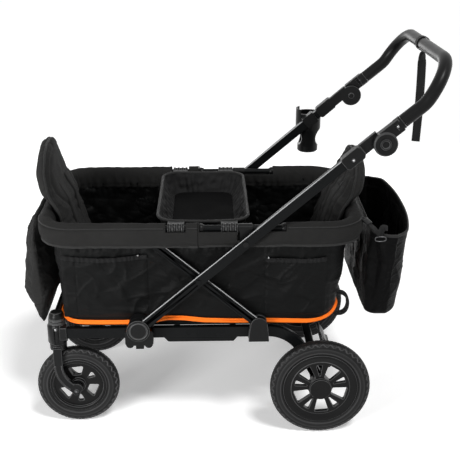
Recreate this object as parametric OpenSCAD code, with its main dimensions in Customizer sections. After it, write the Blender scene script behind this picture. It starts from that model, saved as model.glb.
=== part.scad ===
// Folding stroller wagon: fabric basket on a scissor frame, push handle behind.
// Millimetres, +Z up, +X towards the push handle, -Y is the left side as pushed.

/* [Wheels] */
// Front wheel diameter
front_wheel_d = 254; // [230:1:262]
// Front tyre width
front_tyre_w = 40; // [36:1:44]
// Rear wheel diameter
rear_wheel_d = 305; // [290:1:310]
// Rear tyre width
rear_tyre_w = 42; // [40:1:46]
// Front axle position along the wagon
front_axle_x = -370; // [-374:1:-366]
// Rear axle position along the wagon
rear_axle_x = 374; // [372:1:376]
// Half the distance between the front wheels
front_half_track = 226; // [224:1:228]
// Half the distance between the rear wheels
rear_half_track = 308; // [306:1:311]

/* [Frame] */
// Height of the rail's middle
rail_z = 316; // [314:1:317]
// Rail height
rail_h = 34; // [32:1:34]
// Rail width
rail_w = 20; // [18:1:20]
// Half the distance between the rails' middles
rail_y = 252; // [251:1:253]
// Caster axis position along the wagon
caster_x = -425; // [-428:1:-422]

/* [Fold] */
// Height of the lower scissor pivots
low_pivot_z = 352; // [350:1:354]
// Height of the scissor crossing
cross_z = 505; // [500:1:510]
// Height of the upper scissor pivots
high_pivot_z = 622; // [618:1:624]
// Position of the scissor crossing along the wagon
cross_x = 8; // [6:1:10]
// Half the distance between the lower pivots
low_half_span = 179; // [176:1:182]
// Depth of the crossing legs
leg_h = 28; // [24:1:28]
// Thickness of the crossing legs
leg_t = 14.5; // [13:0.5:14.5]
// Depth of the push tubes
push_h = 30; // [26:1:31]
// Thickness of the push tubes
push_t = 16; // [14:1:16]

/* [Rim] */
// Height of the rim tube's middle
rim_z = 658; // [656:1:660]
// Half the rim tube's width
rim_y = 279; // [278.5:0.5:279.5]
// Front end of the rim tube
rim_front_x = -442; // [-446:1:-440]
// Rear end of the rim tube
rim_rear_x = 475; // [473:1:480]
// Bend radius of the rim tube
rim_bend_r = 92; // [84:1:98]
// Rim tube radius
rim_tube_r = 10; // [9:0.5:10]

/* [Handle] */
// Height of the tilt hinge
tilt_z = 917; // [914:1:920]
// Position of the tilt hinge along the wagon
tilt_x = 526; // [523:1:529]
// Half the handlebar's width
bar_y = 312; // [311:1:313]
// Slope of the handlebar's arms at rest
bar_angle = 39.5; // [36:0.5:43]
// Straight length of the handlebar's arms beyond their sockets
bar_straight = 76; // [70:1:84]
// Radius of the bend that raises the handlebar
bar_rise_r = 88; // [80:1:100]
// Angle of the bend that raises the handlebar
bar_turn = 18.5; // [14:0.5:22]
// Bend radius of the handlebar's corners
bar_bend_r = 108; // [102:1:116]
// Grip radius
grip_r = 19; // [17:0.5:20]

/* [Soft goods] */
// Height of the basket's underside
basket_z = 342; // [341.5:0.5:343]
// Half the basket's width at its top
basket_y = 263; // [258:1:263]
// Height of the tray's edge
tray_z = 667; // [660:1:672]
// Height of the carry bag's mouth
tote_top_z = 630; // [600:1:640]
// Height of the front seat back's top
front_back_top_z = 855; // [800:1:870]
// Height of the rear seat back's top
rear_back_top_z = 826; // [790:1:850]

/* [Hidden] */
$fn = 64;
black_metal = [0.06, 0.06, 0.065];
black_plastic = [0.09, 0.09, 0.095];
black_cloth = [0.11, 0.11, 0.115];
tyre_black = [0.13, 0.13, 0.135];
steel = [0.55, 0.56, 0.58];
piping_orange = [1, 0.47, 0.08];
gap = 0.3;
run_gap = 0.05;

// Scissor geometry
rise = cross_z - low_pivot_z;
slope = atan2(rise, low_half_span);
low_arm = low_half_span / cos(slope);
high_arm = (high_pivot_z - cross_z) / sin(slope);
high_half_span = high_arm * cos(slope);
slide_x = cross_x - low_half_span;
fixed_x = cross_x + low_half_span;
shoe_x = cross_x - high_half_span;
stay_x = cross_x + high_half_span;
leg_y = rim_y + 0.75;
push_y = leg_y + leg_t / 2 + 14 + push_t / 2;
pin_r = 5;
hub_pin_r = 8;

// Push tube stations, measured along the tube from its lower pivot
sleeve_from = 773;
sleeve_to = 839;
tilt_along = (tilt_x - slide_x) * cos(slope) + (tilt_z - low_pivot_z) * sin(slope);
disc_r = 33.5;
disc_split_y = push_y;
bar_start = 62;
bar_offset = 17.5;
socket_x = tilt_x + bar_start * cos(bar_angle) - bar_offset * sin(bar_angle);
socket_z = tilt_z + bar_start * sin(bar_angle) + bar_offset * cos(bar_angle);

// Middle of the handlebar's cross piece, first seen from the sockets
bar_out = bar_straight + bar_rise_r * sin(bar_turn) + bar_bend_r * cos(bar_turn);
bar_up = bar_rise_r * (1 - cos(bar_turn)) + bar_bend_r * sin(bar_turn);
hang_x = socket_x + bar_out * cos(bar_angle) - bar_up * sin(bar_angle);
hang_z = socket_z + bar_out * sin(bar_angle) + bar_up * cos(bar_angle);

// Wheels
front_r = front_wheel_d / 2;
rear_r = rear_wheel_d / 2;
front_bore_r = 6;
rear_bore_r = 8;

// Cup holder
cup_x = 390;
cup_r = 43;
cup_wall = 5;
cup_foot_r = 35.5;
cup_low_z = 708;
cup_high_z = 846;
cup_ring = 50;
cup_waist_z = 758;
cup_horn = 14;
cup_y = push_y + push_t / 2 + 6 + cup_r;

// Bags
bag_front_x = -520;
bag_back_x = -434;

// The whole part is centred on its own box
tip_x = hang_x + grip_r;
wide_y = rear_half_track + rear_tyre_w / 2 + 3;
shift_x = -(tip_x + bag_front_x) / 2;
shift_y = -(cup_y + cup_r - wide_y) / 2;

// Moves a piece from the wagon's own middle to the part's origin
module placed() {
  translate([shift_x, shift_y, 0]) children();
}

// Left piece as drawn, right piece as its mirror image
module on_right() {
  mirror([0, 1, 0]) children();
}

module both_sides() {
  children();
  mirror([0, 1, 0]) children();
}

// Stands a flat shape drawn in X and Z up, from y = -outer to y = -inner
module slab(outer, inner) {
  translate([0, -inner, 0]) rotate([90, 0, 0]) linear_extrude(outer - inner) children();
}

// Round bar across the wagon, from y = -outer to y = -inner
module cross_rod(x, z, outer, inner, r) {
  translate([x, -inner, z]) rotate([90, 0, 0]) cylinder(h = outer - inner, r = r);
}

// Rectangle with true round corners
module round_rect(w, h, r) {
  square([w - 2 * r, h], center = true);
  square([w, h - 2 * r], center = true);
  for (x = [-1, 1])
    for (y = [-1, 1])
      translate([x * (w / 2 - r), y * (h / 2 - r)]) circle(r);
}

// Flat bar with round ends along +X from the origin
module bar_shape(length, h) {
  translate([0, -h / 2]) square([length, h]);
  circle(h / 2);
  translate([length, 0]) circle(h / 2);
}

// Thin plate with round corners, a slice of a soft shell
module plate(x0, x1, half_w, r, z, t) {
  translate([(x0 + x1) / 2, 0, z]) linear_extrude(t) round_rect(x1 - x0, 2 * half_w, r);
}

// Rail: straight tube that bends down to the rear axle
rail_bend_x = 215;
rail_bend_r = 120;
rail_bend_angle = 62;
rail_start_x = caster_x + 33;
rail_foot_x = rail_bend_x + rail_bend_r * sin(rail_bend_angle);
rail_foot_z = rail_z - rail_bend_r * (1 - cos(rail_bend_angle));
rail_foot_run = norm([rear_axle_x - rail_foot_x, rear_r - rail_foot_z]);

module rail() {
  bend_z = rail_z - rail_bend_r;
  color(black_metal) slab(rail_y + rail_w / 2, rail_y - rail_w / 2) difference() {
    union() {
      translate([rail_start_x, rail_z - rail_h / 2]) square([rail_bend_x - rail_start_x, rail_h]);
      intersection() {
        translate([rail_bend_x, bend_z]) difference() {
          circle(rail_bend_r + rail_h / 2, $fn = 96);
          circle(rail_bend_r - rail_h / 2, $fn = 96);
        }
        polygon([
          [rail_bend_x, bend_z], [rail_bend_x, rail_z + rail_h], [rail_foot_x + 60, rail_z + rail_h],
          [rail_bend_x + 160 * sin(rail_bend_angle), bend_z + 160 * cos(rail_bend_angle)]
        ]);
      }
      translate([rail_foot_x, rail_foot_z]) rotate(-rail_bend_angle)
        translate([0, -rail_h / 2]) square([rail_foot_run, rail_h]);
      translate([rear_axle_x, rear_r]) circle(24);
    }
    translate([rear_axle_x, rear_r]) circle(14 + run_gap);
  }
}

module rail_left() { placed() rail(); }
module rail_right() { placed() on_right() rail(); }

module front_crossbar() {
  color(black_metal) placed()
    cross_rod(caster_x, 352, front_half_track - 29, -front_half_track + 29, 13);
}

module middle_crossbars() {
  color(black_metal) placed()
    for (x = [-60, 110])
      cross_rod(x, rail_z + 4, rail_y - rail_w / 2, -rail_y + rail_w / 2, 10);
}

// Caster housing with a flat seat for the rail and the cross bar
housing_low_z = 273;
housing_high_z = 374;
stem_r = 10;

module caster_housing() {
  color(black_plastic) difference() {
    union() {
      translate([caster_x, -front_half_track, 0]) rotate_extrude() polygon([
        [0, housing_low_z], [27, housing_low_z], [30, housing_low_z + 4],
        [30, 330], [27, 336], [27, 340], [25, 341], [25, 344], [26, 345], [26, 350],
        [24, 351], [24, 354], [25, 355], [23, 364], [18, housing_high_z], [0, housing_high_z]
      ]);
      translate([caster_x + 12, -rail_y - rail_w / 2 - 4, rail_z - rail_h / 2 - 3])
        cube([21, rail_w + 8, rail_h + 6]);
      cross_rod(caster_x, 352, front_half_track, front_half_track - 29, 17);
      cross_rod(caster_x, 327, front_half_track + 32, front_half_track, 5);
    }
    translate([caster_x, -front_half_track, housing_low_z - 1]) cylinder(h = 80, r = stem_r + run_gap);
  }
}

module caster_housing_left() { placed() caster_housing(); }
module caster_housing_right() { placed() on_right() caster_housing(); }

// Fixed lower pivot of the crossing leg, riveted to the rail
cheek_in = leg_y - leg_t / 2 - gap;
cheek_out = leg_y + leg_t / 2 + gap;

module bracket_shape(top_r) {
  translate([fixed_x, low_pivot_z]) circle(top_r);
  polygon([
    [fixed_x - 31, rail_z - rail_h / 2], [fixed_x + 31, rail_z - rail_h / 2],
    [fixed_x + 29, rail_z + 8], [fixed_x + top_r - 1, low_pivot_z + 6],
    [fixed_x - top_r + 1, low_pivot_z + 6], [fixed_x - 29, rail_z + 8]
  ]);
}

module leg_brackets() {
  color(black_plastic) placed() both_sides() {
    slab(cheek_in, rail_y + rail_w / 2) bracket_shape(25);
    slab(cheek_out + 8, cheek_out) bracket_shape(25);
    slab(cheek_out, cheek_in) translate([fixed_x - 28, rail_z - rail_h / 2]) square([56, 33]);
    cross_rod(fixed_x, low_pivot_z, cheek_out + 1, cheek_in - 1, pin_r);
  }
}

module under_rail_bars() {
  color(black_plastic) placed() both_sides()
    slab(rail_y + 8, rail_y - 8) polygon([
      [-99, rail_z - rail_h / 2], [125, rail_z - rail_h / 2],
      [112, rail_z - rail_h / 2 - 15], [-86, rail_z - rail_h / 2 - 15]
    ]);
}

// Rear axle beam with a bearing stub at each end and the lugs of the brake bar
brake_x = rear_axle_x + 34;
brake_z = rear_r + 30;
lug_in = 160;
lug_t = 12;

module rear_axle() {
  color(black_metal) placed() {
    difference() {
      union() {
        cross_rod(rear_axle_x, rear_r, rail_y + 14, -rail_y - 14, 14);
        both_sides() slab(lug_in + lug_t, lug_in) {
          translate([rear_axle_x, rear_r]) circle(21);
          translate([brake_x, brake_z]) circle(12);
          translate([rear_axle_x, rear_r]) rotate([0, 0, atan2(brake_z - rear_r, brake_x - rear_axle_x)])
            translate([0, -11]) square([46, 22]);
        }
      }
      cross_rod(brake_x, brake_z, 200, -200, 6 + run_gap);
    }
    both_sides() cross_rod(rear_axle_x, rear_r, rear_half_track + rear_tyre_w / 2 - 5, rail_y, rear_bore_r);
  }
}

// Struts that carry the rear of the floor
strut_y = 200;
strut_w = 22;
strut_top_x = 328;
strut_top_z = basket_z - 1;

module rear_struts() {
  strut_run = norm([rear_axle_x - strut_top_x, strut_top_z - rear_r]);
  strut_lean = atan2(rear_axle_x - strut_top_x, strut_top_z - rear_r);
  color(black_metal) placed() both_sides() difference() {
    slab(strut_y + strut_w / 2, strut_y - strut_w / 2) {
      translate([rear_axle_x, rear_r]) circle(23);
      translate([rear_axle_x, rear_r]) rotate([0, 0, 90 + strut_lean])
        translate([0, -strut_w / 2]) square([strut_run - 8, strut_w]);
      translate([strut_top_x - 28, strut_top_z - 14]) square([60, 14]);
    }
    cross_rod(rear_axle_x, rear_r, strut_y + 30, strut_y - 30, 14 + run_gap);
  }
}

// Webbing loops at the foot of the basket's back
loop_x = 436;
loop_y = 190;
loop_z = 377;
loop_r = 36;
loop_t = 9;

module rear_loops() {
  inner_r = loop_r - loop_t;
  color(black_cloth) placed() difference() {
    both_sides() translate([loop_x, -loop_y, loop_z]) rotate([90, 0, 0]) linear_extrude(22, center = true)
      difference() {
        union() {
          circle(loop_r);
          translate([-60, -loop_r]) square([60, 2 * loop_r]);
        }
        circle(inner_r);
        translate([-62, -inner_r]) square([62, 2 * inner_r]);
      }
    tub(-gap, basket_z - 30, rim_z);
  }
}

module floor_board() {
  color(black_cloth) placed() plate(-372, 352, 226, 46, basket_z + 4, 6);
}

// Basket: cloth tub with an open top, its lower edges rounded up
module tub(inset, z_low, z_top) {
  hull() {
    plate(-388 + inset, 372 - inset, 244 - inset, 56 - inset, z_low, 1);
    plate(-406 + inset, 424 - inset, 258 - inset, 64 - inset, basket_z + 40, 1);
    plate(rim_front_x + 17 + inset, rim_rear_x - 19 - inset, basket_y - inset, 74 - inset, z_top, 1);
  }
}

module basket() {
  color(black_cloth) placed() difference() {
    tub(0, basket_z, rim_z - 20.5);
    tub(4, basket_z + 3.5, rim_z);
  }
}

// Piping cord sewn round the basket's lower edge
piping_z = basket_z + 20;
piping_r = 4;
piping_y = 251.3 + piping_r + gap;
piping_corner = 62;
piping_front_x = -397.5 - piping_r - gap;
piping_rear_x = 401.3 + piping_r + gap;

module basket_piping() {
  side_run = piping_rear_x - piping_front_x - 2 * piping_corner;
  end_run = 2 * (piping_y - piping_corner);
  color(piping_orange) placed() {
    both_sides() translate([piping_front_x + piping_corner, -piping_y, piping_z]) rotate([0, 90, 0])
      cylinder(h = side_run, r = piping_r, $fn = 32);
    for (x = [piping_front_x, piping_rear_x])
      cross_rod(x, piping_z, end_run / 2, -end_run / 2, piping_r, $fn = 32);
    both_sides() {
      translate([piping_front_x + piping_corner, -piping_y + piping_corner, piping_z])
        rotate([0, 0, 180]) rotate_extrude(angle = 90)
          translate([piping_corner, 0]) circle(piping_r, $fn = 32);
      translate([piping_rear_x - piping_corner, -piping_y + piping_corner, piping_z])
        rotate([0, 0, 270]) rotate_extrude(angle = 90)
          translate([piping_corner, 0]) circle(piping_r, $fn = 32);
    }
  }
}

// Soft pad: a crowned skin over a superellipse outline, flat shape in X and Y.
// Rings run from the middle to the sewn edge, once in front and once behind.
pad_rings = 8;
pad_turn = 44;

function power(v, n) = sign(v) * pow(abs(v), n);
function pad_point(w, h, top_n, low_n, r, a) = [
  r * w / 2 * power(cos(a), 2 / (sin(a) > 0 ? top_n : low_n)),
  r * h / 2 * power(sin(a), 2 / (sin(a) > 0 ? top_n : low_n))
];
function pad_crown(r) = pow(max(0, 1 - pow(r, 5)), 0.5);
function ring_r(i) = pow(i / pad_rings, 0.75);

// Sewn channels: depth of the stitched lines at a point of the pad
function channel(x, y, pitch, way, h) =
  way == 1 ? pow(abs(cos(180 * x / pitch)), 6) * (abs(y) < 0.42 * h ? 1 : 0) :
  way == 2 ? pow(abs(cos(180 * (x + y) / pitch)), 10) + pow(abs(cos(180 * (x - y) / pitch)), 10) :
  way == 3 ? pow(abs(cos(180 * x / pitch)), 8) : 0;

module soft_pad(w, h, front_t, back_t, top_n, low_n, pitch, way, sink, swell) {
  front = [for (i = [0:pad_rings]) for (j = [0:pad_turn - 1])
    let (p = pad_point(w, h, top_n, low_n, ring_r(i), j * 360 / pad_turn))
    [p[0], p[1], pad_crown(ring_r(i)) * (front_t - sink * channel(p[0], p[1], pitch, way, h))]];
  back = [for (i = [0:pad_rings - 1]) for (j = [0:pad_turn - 1])
    let (p = pad_point(w, h, top_n, low_n, ring_r(i), j * 360 / pad_turn))
    [p[0], p[1], -pad_crown(ring_r(i)) * (back_t + (p[1] > h * 0.24 ? swell : 0))]];
  n = pad_turn;
  last = len(front);
  edge = pad_rings * n;
  skin = [for (i = [1:pad_rings - 1]) for (j = [0:n - 1])
    let (k = (j + 1) % n)
    each [[i * n + j, (i + 1) * n + k, (i + 1) * n + j], [i * n + j, i * n + k, (i + 1) * n + k]]];
  lining = [for (i = [1:pad_rings - 1]) for (j = [0:n - 1])
    let (k = (j + 1) % n, out = i == pad_rings - 1 ? edge : last + (i + 1) * n)
    each [[last + i * n + j, out + j, out + k], [last + i * n + j, out + k, last + i * n + k]]];
  middle = [for (j = [0:n - 1]) [0, n + (j + 1) % n, n + j]];
  middle_back = [for (j = [0:n - 1]) [last, last + n + j, last + n + (j + 1) % n]];
  polyhedron(points = concat(front, back), faces = concat(skin, lining, middle, middle_back));
}

// Seat cushions lie on the floor board
module seat_cushion_front() {
  color(black_cloth) placed() translate([-232, 0, basket_z + 24])
    soft_pad(236, 420, 20, 13, 7, 7, 59, 3, 4, 0);
}

module seat_cushion_rear() {
  color(black_cloth) placed() translate([252, 0, basket_z + 24])
    soft_pad(216, 420, 20, 13, 7, 7, 54, 3, 4, 0);
}

// Crossing legs run from the fixed brackets up to the rim shoes
module cross_leg() {
  leg_run = low_arm + high_arm;
  color(black_metal) slab(leg_y + leg_t / 2, leg_y - leg_t / 2)
    translate([fixed_x, low_pivot_z]) rotate([0, 0, 180 - slope]) difference() {
      bar_shape(leg_run, leg_h);
      circle(pin_r + run_gap);
      translate([low_arm, 0]) circle(pin_r);
      translate([leg_run, 0]) circle(pin_r + run_gap);
    }
}

module cross_leg_left() { placed() cross_leg(); }
module cross_leg_right() { placed() on_right() cross_leg(); }

module cross_pins() {
  color(steel) placed() both_sides() {
    cross_rod(cross_x, cross_z, push_y + push_t / 2 + gap, leg_y - leg_t / 2, pin_r);
    cross_rod(cross_x, cross_z, push_y + push_t / 2 + 3, push_y + push_t / 2 + gap, 8);
    cross_rod(cross_x, cross_z, push_y - push_t / 2 - gap, leg_y + leg_t / 2, 9);
  }
}

// Push tubes run from the sliding carriages through the crossing to the knuckles
module push_tube() {
  color(black_metal) slab(push_y + push_t / 2, push_y - push_t / 2)
    translate([slide_x, low_pivot_z]) rotate([0, 0, slope]) difference() {
      union() {
        translate([0, -push_h / 2]) square([sleeve_to - 20, push_h]);
        circle(push_h / 2);
      }
      circle(hub_pin_r + run_gap);
      translate([low_arm, 0]) circle(pin_r + run_gap);
      translate([low_arm + high_arm, 0]) circle(pin_r + run_gap);
    }
}

module push_tube_left() { placed() push_tube(); }
module push_tube_right() { placed() on_right() push_tube(); }

// Round hubs that cap the lower ends of the push tubes
hub_r = 34;
hub_in = push_y - push_t / 2 - 3;
hub_out = push_y + push_t / 2 + 6;

module push_hubs() {
  color(black_plastic) placed() both_sides() difference() {
    cross_rod(slide_x, low_pivot_z, hub_out, hub_in, hub_r);
    slab(push_y + push_t / 2, push_y - push_t / 2)
      translate([slide_x, low_pivot_z]) rotate([0, 0, slope]) {
        translate([0, -push_h / 2]) square([100, push_h]);
        circle(push_h / 2);
      }
    cross_rod(slide_x, low_pivot_z, hub_out - 3, hub_in - 1, hub_pin_r + run_gap);
    slab(hub_out + 1, hub_out - 2) translate([slide_x, low_pivot_z]) difference() {
      circle(27);
      circle(24.5);
    }
  }
}

// Outline of the knuckle's sleeve: chamfered at both ends
module sleeve_shape(long, deep) {
  translate([sleeve_from, 0]) polygon([
    [0, -deep + 6], [5, -deep], [long - 8, -deep], [long, -deep + 8],
    [long, deep - 8], [long - 8, deep], [5, deep], [0, deep - 6]
  ]);
}

// Lower knuckles: sleeve on the push tube, and the inner half of the tilt hinge
module lower_knuckles() {
  color(black_plastic) placed() both_sides() difference() {
    union() {
      slab(push_y + push_t / 2 + 4, push_y - push_t / 2 - 4)
        translate([slide_x, low_pivot_z]) rotate([0, 0, slope])
          sleeve_shape(sleeve_to - sleeve_from, push_h / 2 + 5);
      slab(disc_split_y, disc_split_y - 12) {
        translate([slide_x, low_pivot_z]) rotate([0, 0, slope])
          translate([sleeve_to - 6, -17]) square([tilt_along - sleeve_to + 6, 34]);
        translate([tilt_x, tilt_z]) circle(disc_r);
      }
      slab(push_y + push_t / 2 + 6, push_y)
        translate([slide_x, low_pivot_z]) rotate([0, 0, slope])
          translate([(sleeve_from + sleeve_to) / 2 - 4, -4]) circle(4.5);
      cross_rod(tilt_x, tilt_z, disc_split_y - 8, disc_split_y - 15, 9);
    }
    slab(push_y + push_t / 2, push_y - push_t / 2)
      translate([slide_x, low_pivot_z]) rotate([0, 0, slope])
        translate([0, -push_h / 2]) square([sleeve_to - 20, push_h]);
    cross_rod(tilt_x, tilt_z, disc_split_y + 1, disc_split_y - 9, 8 + run_gap);
  }
}

// Cup holder clipped to the right push tube: a ring on two arms that narrow to a waist
module cup_holder() {
  clip_at = (cup_x - slide_x) / cos(slope);
  ring_z = cup_high_z - cup_ring;
  color(black_plastic) placed() on_right() difference() {
    union() {
      difference() {
        translate([cup_x, -cup_y, 0]) rotate_extrude() polygon([
          [0, cup_low_z], [cup_foot_r - 4.5, cup_low_z], [cup_foot_r, cup_low_z + 4.5],
          [cup_foot_r, cup_low_z + 20], [cup_r, ring_z - 8], [cup_r, cup_high_z], [0, cup_high_z]
        ]);
        translate([cup_x, -cup_y, cup_low_z + 5])
          cylinder(h = cup_high_z - cup_low_z, r = cup_foot_r - cup_wall);
        for (side = [-1, 1])
          cross_rod(cup_x + side * 62, cup_waist_z, cup_y + 60, cup_y - 60, 38.5);
      }
      difference() {
        translate([cup_x, -cup_y, cup_high_z - 2]) cylinder(h = cup_horn + 2, r = cup_r);
        translate([cup_x, -cup_y, cup_high_z - 3]) cylinder(h = cup_horn + 5, r = cup_r - cup_wall + 1);
        translate([cup_x - 28, -cup_y - 60, cup_high_z - 3]) cube([120, 120, cup_horn + 5]);
      }
      slab(push_y + push_t / 2 + 9, push_y - push_t / 2 - 4)
        translate([slide_x, low_pivot_z]) rotate([0, 0, slope])
          translate([clip_at, 0]) round_rect(44, push_h + 8, 4);
    }
    slab(push_y + push_t / 2, push_y - push_t / 2)
      translate([slide_x, low_pivot_z]) rotate([0, 0, slope])
        translate([clip_at - 40, -push_h / 2]) square([80, push_h]);
    translate([cup_x, -cup_y, ring_z]) cylinder(h = cup_ring + 1, r = cup_r - cup_wall);
  }
}

// Draws a profile round the rim's path: X of the profile points outwards
module along_rim(x_from, x_to) {
  both_sides() translate([x_from, -rim_y, rim_z]) rotate([90, 0, 90]) mirror([1, 0, 0])
    linear_extrude(x_to - x_from) children();
}

module rim_corner(x, turn) {
  both_sides() translate([x, -rim_y + rim_bend_r, rim_z]) rotate([0, 0, turn])
    rotate_extrude(angle = 90, $fn = 96) translate([rim_bend_r, 0]) children();
}

module rim_end(x, out) {
  translate([x, rim_y - rim_bend_r, rim_z]) rotate([90, 0, 0]) mirror([out < 0 ? 1 : 0, 0, 0])
    linear_extrude(2 * rim_y - 2 * rim_bend_r) children();
}

module rim_tube() {
  color(black_metal) placed() {
    along_rim(rim_front_x + rim_bend_r, rim_rear_x - rim_bend_r) circle(rim_tube_r);
    rim_corner(rim_front_x + rim_bend_r, 180) circle(rim_tube_r);
    rim_corner(rim_rear_x - rim_bend_r, 270) circle(rim_tube_r);
    rim_end(rim_front_x, -1) circle(rim_tube_r);
    rim_end(rim_rear_x, 1) circle(rim_tube_r);
  }
}

// Section of the padded rim cover: a hood over the tube with a hanging outer skirt
hood_in = 14.5;
hood_out = 19.5;
skirt_low = -51;
lip_low = -18;
hood_top = 17.5;

module hood_shape() {
  difference() {
    union() {
      translate([(hood_out - hood_in - 4) / 2, (hood_top + skirt_low) / 2])
        round_rect(hood_out + hood_in + 4, hood_top - skirt_low, 12);
      translate([hood_in, skirt_low]) square([hood_out - hood_in, 30]);
    }
    translate([-hood_in, skirt_low - 1]) square([2 * hood_in, 13.5 - skirt_low + 1]);
    translate([-40, skirt_low - 1]) square([40, lip_low - skirt_low + 1]);
  }
}

cover_split_x = 8;

module rim_cover_front() {
  color(black_cloth) placed() difference() {
    union() {
      along_rim(rim_front_x + rim_bend_r, cover_split_x) hood_shape();
      rim_corner(rim_front_x + rim_bend_r, 180) hood_shape();
      rim_end(rim_front_x, -1) hood_shape();
    }
    for (side = [-1, 1])
      translate([clip_front_x - 30, side * rim_y - 40, rim_z - 4]) cube([60, 80, 40]);
  }
}

module rim_cover_rear() {
  color(black_cloth) placed() difference() {
    union() {
      along_rim(cover_split_x + 1, rim_rear_x - rim_bend_r) hood_shape();
      rim_corner(rim_rear_x - rim_bend_r, 270) hood_shape();
      rim_end(rim_rear_x, 1) hood_shape();
    }
    for (side = [-1, 1]) {
      translate([12, side * rim_y - 40, rim_z - 4]) cube([251, 80, 40]);
      translate([stay_x - 26, side * rim_y + (side > 0 ? 0 : -40), rim_z - 80]) cube([52, 40, 90]);
    }
  }
}

// Pivots of the push tubes, clamped to the rim tube
module rim_pivots() {
  color(black_plastic) placed() both_sides() difference() {
    union() {
      translate([stay_x - 20, -rim_y, rim_z]) rotate([0, 90, 0]) cylinder(h = 40, r = rim_tube_r + 4);
      translate([stay_x - 16, -rim_y - 14, high_pivot_z - 13])
        cube([32, 20, rim_z - high_pivot_z + 13]);
      cross_rod(stay_x, high_pivot_z, push_y - push_t / 2 - gap, rim_y, 13);
      cross_rod(stay_x, high_pivot_z, push_y + push_t / 2 + gap, rim_y, pin_r);
      cross_rod(stay_x, high_pivot_z, push_y + push_t / 2 + 3, push_y + push_t / 2 + gap, 8);
    }
    translate([stay_x - 60, -rim_y, rim_z]) rotate([0, 90, 0]) cylinder(h = 120, r = rim_tube_r);
  }
}

// Carry bag behind the basket, open at the top
module bag_body(inset, low, high) {
  hull() {
    translate([568, 0, low]) linear_extrude(1) round_rect(112 - 2 * inset, 456 - 2 * inset, 30 - inset);
    translate([588, 0, high]) linear_extrude(1) round_rect(124 - 2 * inset, 510 - 2 * inset, 44 - inset);
  }
}

module tote_bag() {
  color(black_cloth) placed() {
    difference() {
      bag_body(0, 350, tote_top_z);
      bag_body(4, 355, tote_top_z + 2);
    }
    both_sides() translate([rim_rear_x + 20, -214, tote_top_z - 34]) cube([36, 24, 22]);
  }
}

// Boot bag: a plump pouch hung in front of the basket
module boot_bag() {
  color(black_cloth) placed() translate([(bag_front_x + bag_back_x) / 2 - 2, 0, 478])
    rotate([90, 0, -90]) rotate([4, 0, 0])
      soft_pad(396, 316, 38, 32, 4, 5, 400, 0, 0, 0);
}

// Tray: cloth bin hung between the rim's sides
tray_front_x = -110;
tray_rear_x = 156;
tray_y = 240;

module tray() {
  color(black_cloth) placed() difference() {
    hull() {
      plate(tray_front_x + 34, tray_rear_x - 34, tray_y - 26, 40, tray_z - 66, 1);
      plate(tray_front_x, tray_rear_x, tray_y, 56, tray_z, 1);
    }
    hull() {
      plate(tray_front_x + 38, tray_rear_x - 38, tray_y - 30, 36, tray_z - 62, 1);
      plate(tray_front_x + 4, tray_rear_x - 4, tray_y - 4, 52, tray_z + 0.5, 1);
    }
  }
}

// Hook clips that carry the tray on the rim tube, open underneath to lift off
clip_front_x = -55;
clip_rear_x = 99;
clip_long = 48;
clip_ribs = 4;

// One slice of a clip: the hook round the tube with its two straight legs
module clip_slice(long, back_r) {
  linear_extrude(long) difference() {
    union() {
      intersection() {
        circle(back_r);
        translate([-30, -3]) square([60, 40]);
      }
      translate([-rim_tube_r - 4, -15]) square([2 * rim_tube_r + 8, 15]);
      translate([0, 4]) square([rim_y - tray_y - gap, 7]);
    }
    circle(rim_tube_r + gap);
    translate([-rim_tube_r - gap, -40]) square([2 * rim_tube_r + 2 * gap, 40]);
  }
}

module tray_clips() {
  pitch = clip_long / (2 * clip_ribs - 1);
  color(black_plastic) placed() for (x = [clip_front_x, clip_rear_x]) both_sides()
    translate([x - clip_long / 2, -rim_y, rim_z]) rotate([90, 0, 90]) {
      clip_slice(clip_long, rim_tube_r + 4.4);
      for (k = [0:clip_ribs - 1])
        translate([0, 0, 2 * k * pitch]) clip_slice(pitch, rim_tube_r + 6);
    }
}

// Carriages slide along the rails and carry the lower ends of the push tubes
carriage_half = 42;
tab_y = rail_y + 22;

module carriage() {
  color(black_plastic) difference() {
    union() {
      slab(hub_in - gap, rail_y - rail_w / 2 - 4) translate([slide_x, rail_z]) {
        round_rect(2 * carriage_half, rail_h + 14, 8);
        for (side = [-1, 1])
          translate([side * 28, -rail_h / 2 - 3]) circle(12);
      }
      slab(hub_in - gap, rail_y + rail_w / 2 + 3)
        translate([slide_x, low_pivot_z]) circle(hub_r - 3);
      cross_rod(slide_x, low_pivot_z, hub_out - 3.5, hub_in - 1, hub_pin_r);
    }
    translate([slide_x - 100, -rail_y - rail_w / 2 - gap, rail_z - rail_h / 2 - gap])
      cube([200, rail_w + 2 * gap, rail_h + 2 * gap]);
    translate([slide_x - 12.2, -tab_y - 7.2, rail_z - 60]) cube([24.4, 14.4, 56]);
  }
}

module carriage_left() { placed() carriage(); }
module carriage_right() { placed() on_right() carriage(); }

module release_tab() {
  color(black_plastic) translate([slide_x - 12, -tab_y - 7, rail_z - 44]) cube([24, 14, 30]);
}

module release_tab_left() { placed() release_tab(); }
module release_tab_right() { placed() on_right() release_tab(); }

// Shoes slide along the rim tube and carry the upper ends of the crossing legs
module rim_shoes() {
  lug_out = leg_y - leg_t / 2 - gap;
  color(black_plastic) placed() both_sides() difference() {
    union() {
      translate([shoe_x - 20, -rim_y, rim_z]) rotate([0, 90, 0]) cylinder(h = 40, r = rim_tube_r + 3);
      slab(lug_out, lug_out - 5.5) {
        translate([shoe_x, high_pivot_z]) circle(13);
        translate([shoe_x - 13, high_pivot_z]) square([26, rim_z - high_pivot_z]);
      }
      cross_rod(shoe_x, high_pivot_z, leg_y + leg_t / 2 + 1, lug_out - 1, pin_r);
    }
    translate([shoe_x - 60, -rim_y, rim_z]) rotate([0, 90, 0]) cylinder(h = 120, r = rim_tube_r + gap);
  }
}

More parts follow.
